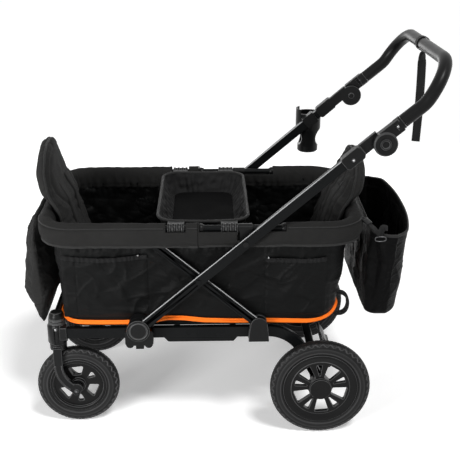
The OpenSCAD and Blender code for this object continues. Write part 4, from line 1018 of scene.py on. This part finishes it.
def rear_back_sewn(p, n):
    """Five long sewn channels with a top panel above them."""
    x, y = p[:, 0], p[:, 1]
    inner = (n[:, 2] > 0.15).astype(float)
    v = (y + REAR_RUN / 2) / REAR_RUN
    span = step(0.06, 0.1, v) * step(0.95, 0.9, v)
    d = -span * sum(5.2 * dip(x - c, 5) for c in (-110, -55, 0, 55, 110))
    d = d + span * 1.4 * np.sin(2 * np.pi * v * REAR_RUN / 33 + 3 * waves(x, v * 100, 120, 111)) * dip((x % 55) - 27, 20)
    d = d + 2.4 * creases(x * 0.6, v * REAR_RUN, 90, 112)
    full = 18 * step(0.1, 0.8, -n[:, 2]) * step(0.67, 0.8, v)
    return inner * d + full + 1.2 * edge_pucker(x, y, BACK_WIDTH, REAR_RUN - 8, 19, 113) + 0.4 * waves(x, y, 60, 114)


def cushion_sewn(w, pitch):
    def sewn(p, n):
        """Sewn channels across the cushion, sagging a little where people sit."""
        x, y = p[:, 0], p[:, 1]
        top = (n[:, 2] > 0.15).astype(float)
        lines = np.abs(np.cos(np.pi * x / pitch)) ** 24
        d = -4.0 * lines * step(200, 185, np.abs(y)) - 3.0 * dip(y - 105, 70) - 3.0 * dip(y + 105, 70)
        return top * (d + 1.8 * creases(x, y, 90, 121)) + 1.0 * edge_pucker(x, y, w, 420, 21, 122)
    return sewn


def boot_sewn(p, n):
    """A pouch that is full below and slack above: broad dents, a pucker along both edges."""
    x, y = p[:, 0], p[:, 1]
    d = -7 * step(-40, 150, y) + 5.5 * waves(x, y, 180, 131) + 5.0 * creases(x * 0.7 + y * 0.5, y, 130, 132, 3)
    d = d + 3.0 * creases(x - 0.6 * y, y, 95, 133)
    return d * step(1.0, 0.82, np.maximum(np.abs(x) / 198, np.abs(y) / 158)) + 2.2 * edge_pucker(x, y, 396, 316, 24, 134)


def boot_place(p):
    """The pouch hangs in front of the basket; its lower part draws together and down into a point seen from the end."""
    tip = math.radians(4)
    x, y, z = p[..., 0], p[..., 1], p[..., 2]
    z = z + 16 * arch((y + 158) / 200) * (z > 0)
    low = step(-70, -158, y)
    y, z = y - 27 * low, z * (1 - 0.85 * low) + 13 * low
    y, z = y * math.cos(tip) - z * math.sin(tip), y * math.sin(tip) + z * math.cos(tip)
    return np.stack([-479 - z, -x, 478 + y], -1)


def level_place(centre_x):
    return lambda p: p + np.array([centre_x, 0, 366.0])


PADS = [
    Pad("seat_back_front_pad", (BACK_WIDTH, FRONT_RUN - 8), (10, 9), BACK_CORNERS,
        lambda p: FRONT_BACK(p + np.array([0, FRONT_RUN / 2 + 4, 0])), front_back_sewn, 9,
        "back_front", "seat_back_front"),
    Pad("seat_back_rear_pad", (BACK_WIDTH, REAR_RUN - 8), (10, 12), BACK_CORNERS,
        lambda p: REAR_BACK(p + np.array([0, REAR_RUN / 2 + 4, 0])), rear_back_sewn, 9,
        "back_rear", "seat_back_rear"),
    Pad("seat_cushion_front_pad", (236, 420), (13, 11), (7, 7), level_place(-232), cushion_sewn(236, 59), 7,
        "base", "seat_cushion_front"),
    Pad("seat_cushion_rear_pad", (216, 420), (13, 11), (7, 7), level_place(252), cushion_sewn(216, 54), 7,
        "base", "seat_cushion_rear"),
    Pad("boot_bag_pouch", (396, 316), (24, 22), (4, 5), boot_place, boot_sewn, 14, "rim", "boot_bag"),
]


def stuff():
    """Fills every pad at once over twenty frames."""
    for pad in PADS:
        pad.prepare()
    for k in range(1, 21):
        scene.frame_set(k)
    made = {pad.name: pad.finish() for pad in PADS}
    scene.frame_set(1)
    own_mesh(made["boot_bag_pouch"])


stuff()


def off_back(place):
    """The way that a seat back's inner face looks."""
    return place(np.array([0, 0, 1.0])) - place(np.zeros(3))


def strap_line(place, run, side, v, lift):
    """A shoulder strap's middle line at shares v of the back's run, that far off it, with a slight wave."""
    return place(np.stack([side * (50 + 5 * np.sin(5 * v)), v * run, lift + 2.5 * np.sin(9 * v + side)], -1))


def edge_cords():
    """A round cord sewn into the edge of each seat back."""
    for name, place, run, body in BACKS:
        edge = pad_outline(BACK_WIDTH + 1, run - 7, *BACK_CORNERS, 300)
        path = place(raised(edge + np.array([0, run / 2 + 4]), 0.8 * waves(edge[:, 0], edge[:, 1], 70, 141)))
        cord = sweep(path, circle(3.6, 14), up=off_back(place), closed=True)
        skin(f"seat_back_{name}_cord", cord, BINDING, body, wrap=(True, True))


def harnesses():
    """Shoulder straps as flat tapes that leave the back at a slot and rest on it, each with a plump pad round it."""
    for name, place, run, body in BACKS:
        tapes, pads = [], []
        up = off_back(place)
        for side in (-1, 1):
            v = np.linspace(0.34, 0.8, 60)
            line = strap_line(place, run, side, v, 18 - 8 * dip(v - 0.8, 0.02) - 5 * dip(v - 0.34, 0.03))
            tapes.append(sweep(line, flat_oval(24, 2.2), up=up))
            u = np.linspace(0, 1, 44)
            size = np.clip(1 - np.abs(2 * u - 1) ** 6, 0.02, 1) ** 0.5
            ring = flat_oval(42, 11, 32)[None] * np.stack([0.8 + 0.2 * size, size], -1)[:, None]
            pads.append(sweep(strap_line(place, run, side, 0.44 + 0.3 * u, 20), ring, up=up))
        skin(f"harness_{name}_tapes", tapes, TAPE, body, caps=True, stands_for=(f"harness_{name}",))
        made = skin(f"harness_{name}_pads", pads, PAD_CLOTH, body, caps=True)


def rear_loops():
    """Webbing loops at the foot of the basket's back: a thick doubled tape bent round into a drop."""
    loops = []
    turn = angles(72)
    c, s = np.cos(turn), np.sin(turn)
    for side in (-1, 1):
        line = np.stack([436 + 33 * c - 3 * np.cos(2 * turn), side * 190 + 2 * s, 377 + 34 * s], -1)
        loops.append(sweep(line, flat_oval(24, 9)[:, ::-1], up=(0, 1, 0), closed=True))
    skin("rear_loop_tapes", loops, TAPE, "base", wrap=(True, True), stands_for=("rear_loops",))


edge_cords()
harnesses()
rear_loops()


# Tyres
TYRE_DEPTH = 38.6


def tyre(name, centre, radius, width, lugs, body, node):
    """A section turned about the axle, round at the tread and square at the bead. The tread stands proud inside a
    zig-zag edge on each shoulder, with grooves across it; rings run round the sidewalls."""
    turn = angles(560)[:, None]
    a = angles(96)[None] - np.pi
    c, s = np.cos(a), np.sin(a)
    depth = TYRE_DEPTH
    r = radius - 1.4 - depth / 2 + depth / 2 * bent(c, np.where(c > 0, 0.8, 0.4))
    y = (width / 2 - 0.8) * bent(s, np.where(c > 0, 0.72, 0.4))
    q = np.degrees(np.abs(a))
    zig = (2 / np.pi) * np.arcsin(np.sin(turn * lugs + np.sign(s) * 0.8))
    edge = 50 + 15 * zig
    d = 1.4 * step(edge + 3, edge - 3, q) - 1.6 * step(edge - 2, edge + 4, q) * step(92, 80, q)
    d = d - 1.8 * dip(zig, 0.12) * step(14, 20, q) * step(70, 60, q) - 1.8 * dip(q - 14 - 4 * zig, 2.5)
    wall = (r - (radius - depth)) / depth
    flank = step(66, 84, q) * step(168, 150, q)
    rings = ((0.8, 0.5, 0.03), (-1.0, 0.36, 0.025), (0.8, 0.2, 0.05), (-1.2, 0.09, 0.03))
    d = d + flank * sum(high * dip(wall - where, wide) for high, where, wide in rings)
    out = unit(np.stack([bent(c, 1.2) / depth, bent(s, 1.2) / width], -1))
    r = r + out[..., 0] * d
    y = y + out[..., 1] * np.minimum(d, 0.8)
    grid = np.stack([centre[0] + r * np.cos(turn), centre[1] + y + 0 * turn, centre[2] + r * np.sin(turn)], -1)
    made = skin(name, grid, TYRE, body, wrap=(True, True), stands_for=(node,))
    # Painted highlight: paler lines along the shoulders' zig-zag edges, the grooves across the tread and the sidewall
    # rings, stored for the rubber finish
    lines = dip(q - edge, 3.5) + flank * (0.5 * dip(wall - 0.5, 0.035) + 0.6 * dip(wall - 0.2, 0.05))
    lines = np.clip(lines + 0.5 * dip(zig, 0.14) * step(14, 20, q) * step(70, 60, q), 0, 1)
    made.data.attributes.new("painted_tread_highlight", "FLOAT", "POINT").data.foreach_set("value", lines.astype(np.float32).ravel())


for side, word in SIDES:
    for end, x, y, z, *sizes in (("front", -370, 226, 127, 126.9, 39.8, 34), ("rear", 374, 308, 152.5, 152.4, 41.8, 40)):
        tyre(f"{end}_tread_{word}", (x, side * y, z), *sizes, f"{end}_roller_{word}", f"{end}_tyre_{word}")


def rivets():
    """Small steel domes on the heads of the rivets and of the fork's bolts."""
    outline = [(0.1, 1.9), (1.9, 1.7), (3.1, 1.0), (3.6, 0.2), (3.6, -0.8)]
    bolt = wagon_mm(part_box("fork_left")[0])[1]
    for name, body, x, y, z in (("sleeve", "push_frame", 441.3, -323, 870.0), ("arm", "handlebar", 556.0, -331, 967.0),
                                ("housing", "base", -425, -258, 327.0)):
        rings = [turned((x, side * -y, z), (0, side, 0), outline, 24) for side in (-1, 1)]
        skin(f"{name}_rivets", rings, STEEL, body, caps=True)
    for side, word in SIDES:
        head = turned((-373.6, -side * bolt, 117.3), (0, side, 0), outline, 24)
        skin(f"fork_bolt_{word}", head, DARK_STEEL, f"caster_{word}", caps=True)


rivets()


def brake_lever():
    """A rod across the lugs with a disc at each end, and a short pressed pedal that hangs down behind the axle."""
    outline = [(0.2, -226), (13, -226), (13, -216), (6, -216), (6, 216), (13, 216), (13, 226), (0.2, 226)]
    rod = turned((408, 0, 182.5), (0, 1, 0), outline)
    line = through([(408, 0, 182.5), (416, 0, 177), (424, 0, 163), (430, 0, 146), (440, 0, 140)], 24)
    pedal = sweep(line, flat_oval(100, 7, 28), up=(0.8, 0, 0.6))
    skin("brake_lever", [rod, pedal], TUBE, "brake", caps=True, stands_for=("brake_bar",))


brake_lever()


# Finishes of the carried-over nodes
WHEELS = both("front_wheel", "rear_wheel")
wear(TUBE, *both("rail", "cross_leg", "push_tube"), "front_crossbar", "middle_crossbars", "under_rail_bars", "rear_axle",
     "rear_struts", "rim_tube", "handlebar_tube", "cross_pins")
wear(PLASTIC, *both("caster_housing", "carriage", "release_tab", "tilt_button", "fork"), "leg_brackets", "push_hubs",
     "lower_knuckles", "cup_holder", "rim_pivots", "tray_clips", "rim_shoes", "upper_knuckles")
wear(WHEEL_PLASTIC, *WHEELS)
wear(GRIP, "handlebar_grip")
wear(BASE_PANEL, "floor_board")


def ease(mm, edge_highlight, *names):
    """Rounds the sharp edges of a carried-over node, as a mould or a drawn tube leaves them, and gives the rounded
    faces the edge finish; a paler one paints a highlight along them.
    """
    for name in names:
        parts[name].data.materials.append(edge_highlight)
        join = parts[name].modifiers.new("join", "WELD")
        join.merge_threshold = 1e-5
        edge = parts[name].modifiers.new("edge", "BEVEL")
        edge.width, edge.segments, edge.use_clamp_overlap = mm / 1000, 2, False
        edge.limit_method, edge.angle_limit, edge.material = "ANGLE", math.radians(40), 1


# Push tubes, cross legs and the plastics get paler edge finishes: painted highlights along their edges. The rails keep
# the plain tube finish.
ease(2.0, TUBE_EDGE_HIGHLIGHT, *both("push_tube", "cross_leg"))
ease(2.0, TUBE, *both("rail"), "under_rail_bars", "rear_struts")
ease(1.2, PLASTIC_EDGE_HIGHLIGHT, *both("fork", "caster_housing", "tilt_button"), *WHEELS, "upper_knuckles", "lower_knuckles",
     "push_hubs", "leg_brackets", "tray_clips")


# Studio
def seen_directly(tree):
    """1 for rays from the camera, from a mirror or through glass, 0 for light that falls on the object."""
    rays = tree.nodes.new("ShaderNodeLightPath")
    last = rays.outputs["Is Camera Ray"]
    for kind in ("Is Glossy Ray", "Is Transmission Ray"):
        either = tree.nodes.new("ShaderNodeMath")
        either.operation = "MAXIMUM"
        tree.links.new(last, either.inputs[0])
        tree.links.new(rays.outputs[kind], either.inputs[1])
        last = either.outputs[0]
    return last


def studio():
    """A white floor without edges that keeps the shadow, a white surround, a high key light, a low soft one for the
    cloth's sheen and a low strip behind for the pale lines along the tubes."""
    mesh = bpy.data.meshes.new("studio_floor")
    mesh.from_pydata([(-60, -60, 0), (60, -60, 0), (60, 60, 0), (-60, 60, 0)], [], [(0, 1, 2, 3)])
    floor = bpy.data.objects.new("studio_floor", mesh)
    floor.location.z = -0.0005
    scene.collection.objects.link(floor)
    f = Finish("studio_floor", Base_Color=(0.94, 0.94, 0.94, 1), Roughness=0.8, Specular_IOR_Level=0.1,
               Emission_Strength=1.0)
    mesh.materials.append(f.material)
    f.feed("Emission Color", f.between(Val(f, seen_directly(f.tree)), (0, 0, 0), (0.29, 0.29, 0.29)))
    world = bpy.data.worlds.new("studio")
    scene.world = world
    world.use_nodes = True
    nodes, links = world.node_tree.nodes, world.node_tree.links
    sky = nodes["Background"]
    level = nodes.new("ShaderNodeMapRange")
    level.inputs["To Min"].default_value, level.inputs["To Max"].default_value = 0.22, 1.0
    links.new(seen_directly(world.node_tree), level.inputs["Value"])
    links.new(level.outputs[0], sky.inputs["Strength"])
    sky.inputs["Color"].default_value = (1, 1, 1, 1)
    for name, kind, place, aim, settings in (
            ("key", "SUN", (900, -1260, 2580), (0, 0, 0), {"energy": 2.0, "angle": math.radians(15)}),
            ("sheen", "AREA", (-1900, -2500, 1100), (-50, 0, 500), {"shape": "SQUARE", "size": 1.0, "energy": 70}),
            ("line", "AREA", (0, 3000, 800), (0, 0, 600),
             {"shape": "RECTANGLE", "size": 5.0, "size_y": 0.8, "energy": 24})):
        data = bpy.data.lights.new(name, kind)
        for key, value in settings.items():
            setattr(data, key, value)
        lamp = bpy.data.objects.new(name, data)
        lamp.visible_camera = False
        lamp.location = at(place)
        lamp.rotation_euler = Vector(at(aim) - at(place)).to_track_quat("-Z", "Y").to_euler()
        scene.collection.objects.link(lamp)


studio()
